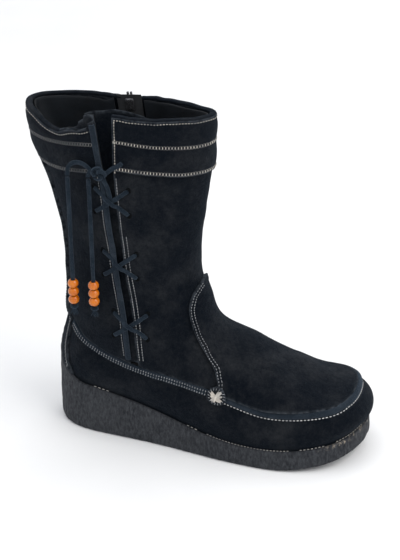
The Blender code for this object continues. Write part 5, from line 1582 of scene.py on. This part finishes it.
# ---------------------------------------------------------------- stage
def make_stage():
    """A white sweep, soft lights and the camera."""
    paper = plain_look("paper_white", (0.80, 0.80, 0.80), (0.86, 0.86, 0.86), 3.0, 0.9, 0.0006)
    bend = [(2.5 + 0.7 * math.sin(q), 0.7 - 0.7 * math.cos(q)) for q in np.linspace(0, 1.5, 14)]
    profile = [(-3.2, 0.0), *bend, (3.25, 3.2)]
    ahead, side = Vector((0.974, 0.228, 0)), Vector((-0.228, 0.974, 0))
    points = [ahead * a + side * w + Vector((0, 0, z)) for a,
        z in profile for w in np.linspace(-3.4, 3.4, 20)]
    mesh = bpy.data.meshes.new("paper_sweep")
    mesh.from_pydata([tuple(p) for p in points], [],
        [tuple(int(i) for i in f) for f in grid_faces(len(profile), 20)])
    mesh.shade_smooth()
    mesh.materials.append(paper)
    floor = bpy.data.objects.new("paper_sweep", mesh)
    bpy.context.scene.collection.objects.link(floor)
    lights = (
        ("key", (-0.6, -1.5, 1.9), 1.5, 30.0, (1.0, 0.985, 0.96)),
        ("fill", (-0.9, 1.5, 1.2), 1.6, 4.0, (0.95, 0.97, 1.0)),
        ("top", (0.5, 0.1, 2.3), 1.6, 16.0, (1.0, 1.0, 1.0)),
    )
    for name, place, size, power, colour in lights:
        data = bpy.data.lights.new(name, "AREA")
        data.size = size
        data.energy = power
        data.color = colour
        lamp = bpy.data.objects.new(name, data)
        lamp.location = place
        lamp.rotation_euler = (Vector((0, 0, 0.12)) - Vector(place)).to_track_quat("-Z", "Y").to_euler()
        bpy.context.scene.collection.objects.link(lamp)
    sky = bpy.data.worlds.new("white_room")
    sky.use_nodes = True
    sky.node_tree.nodes["Background"].inputs["Color"].default_value = (0.94, 0.96, 1.0, 1.0)
    sky.node_tree.nodes["Background"].inputs["Strength"].default_value = 0.85
    bpy.context.scene.world = sky
    scene = bpy.context.scene
    scene.view_settings.view_transform = "Standard"
    data = bpy.data.cameras.new("camera")
    data.sensor_fit = "VERTICAL"
    data.sensor_height = 36.0
    data.lens = 102.5
    data.shift_x = -0.096
    data.shift_y = -0.1425
    camera = bpy.data.objects.new("camera", data)
    camera.location = (-1.1296, -0.3006, 0.7672)
    camera.rotation_euler = Vector((0.8807, 0.2062, -0.4266)).to_track_quat("-Z", "Y").to_euler()
    scene.collection.objects.link(camera)
    scene.camera = camera


# ---------------------------------------------------------------- assembly
def dress_frame(board, foam):
    """Finishes for the CAD pieces that stay in view."""
    for node, material in (("insole_board", board), ("heel_counter", board), ("footbed", foam)):
        piece = frame["nodes"][node]
        piece.data.materials.clear()
        piece.data.materials.append(material)
        for face in piece.data.polygons:
            face.material_index = 0


def main():
    # The paler second colour of each suede goes on in random patches: partly brushed nap, partly painted
    # highlight.
    suede = suede_look("suede_black", (0.0014, 0.0030, 0.0057), (0.0185, 0.0200, 0.0225),
        (0.052, 0.06, 0.07), sheen=0.05)
    # Paler suede for the raised rolls and the rolled slit edge: painted highlight where they catch the
    # light.
    worn = suede_look("suede_paler_highlit", (0.009, 0.0135, 0.0195), (0.026, 0.034, 0.044), (0.07, 0.08, 0.095),
        60.0, 0.2)
    lace = suede_look("lace_suede_blue", (0.006, 0.0105, 0.016), (0.020, 0.029, 0.040), (0.05, 0.06, 0.07),
        90.0, 0.25)
    # Near-black suede for the lace holes: painted shade inside them.
    dark = suede_look("hole_painted_shade", (0.002, 0.0025, 0.003), (0.005, 0.006, 0.007), (0.012, 0.014, 0.017),
        90.0, 0.03)
    cream = thread_look("thread_cream", (0.62, 0.57, 0.50), (0.24, 0.235, 0.23), 0.85)
    # Dim thread: the cuff rows' duller tone, and painted shade of the cream thread on the rear cuff's rungs.
    dim_and_shaded_thread = thread_look("thread_dim_and_shaded", (0.28, 0.275, 0.265), (0.10, 0.105, 0.11), 0.9)
    grey = thread_look("thread_grey", (0.34, 0.35, 0.36), (0.13, 0.14, 0.155), 0.9)
    white = thread_look("thread_white", (0.66, 0.66, 0.65), (0.3, 0.31, 0.33), 0.7)
    lining = cloth_look("lining_satin", (0.0010, 0.0022, 0.0042), (0.0035, 0.0068, 0.0110), 700.0, 0.5,
        0.04)
    tape = cloth_look("zip_tape_woven", (0.008, 0.009, 0.011), (0.026, 0.028, 0.031), 380.0, 0.75)
    coil = plain_look("zip_coil_nylon", (0.010, 0.010, 0.012), (0.024, 0.024, 0.027), 400.0, 0.38, 0.00005)
    metal = metal_look("zip_gunmetal", (0.10, 0.10, 0.11), (0.34, 0.34, 0.35), 0.3)
    board = plain_look("board_fibre", (0.34, 0.25, 0.15), (0.46, 0.35, 0.22), 300.0, 0.9, 0.0002)
    foam = cloth_look("footbed_cloth", (0.03, 0.03, 0.033), (0.07, 0.07, 0.075), 420.0, 0.85)
    make_outsole(crepe_look())
    make_welt(thread_look("cement_line", (0.5, 0.48, 0.44), (0.16, 0.16, 0.165), 0.9))
    wall_sheet("vamp_wall_suede", lambda w: 0.004, medial_end, 0.0, below_seam, -SUEDE, 0.0, suede, "suede",
        ("vamp_wall",))
    make_plug(suede)
    make_shaft(suede)
    make_cuffs(suede)
    make_backstay(suede)
    make_gusset(suede)
    make_lining(lining)
    make_rolls(worn)
    make_ornaments(suede, cream, grey)
    make_crossings(lace, dark)
    make_tie(lace)
    make_lace_ends(lace, wood_look())
    make_zip(tape, coil, metal, grey)
    make_slider(metal)
    stitch_cuffs(cream, dim_and_shaded_thread)
    stitch_slit(grey)
    stitch_plug(grey)
    stitch_seam(white, grey)
    stitch_backstay(grey)
    dress_frame(board, foam)
    make_stage()


main()
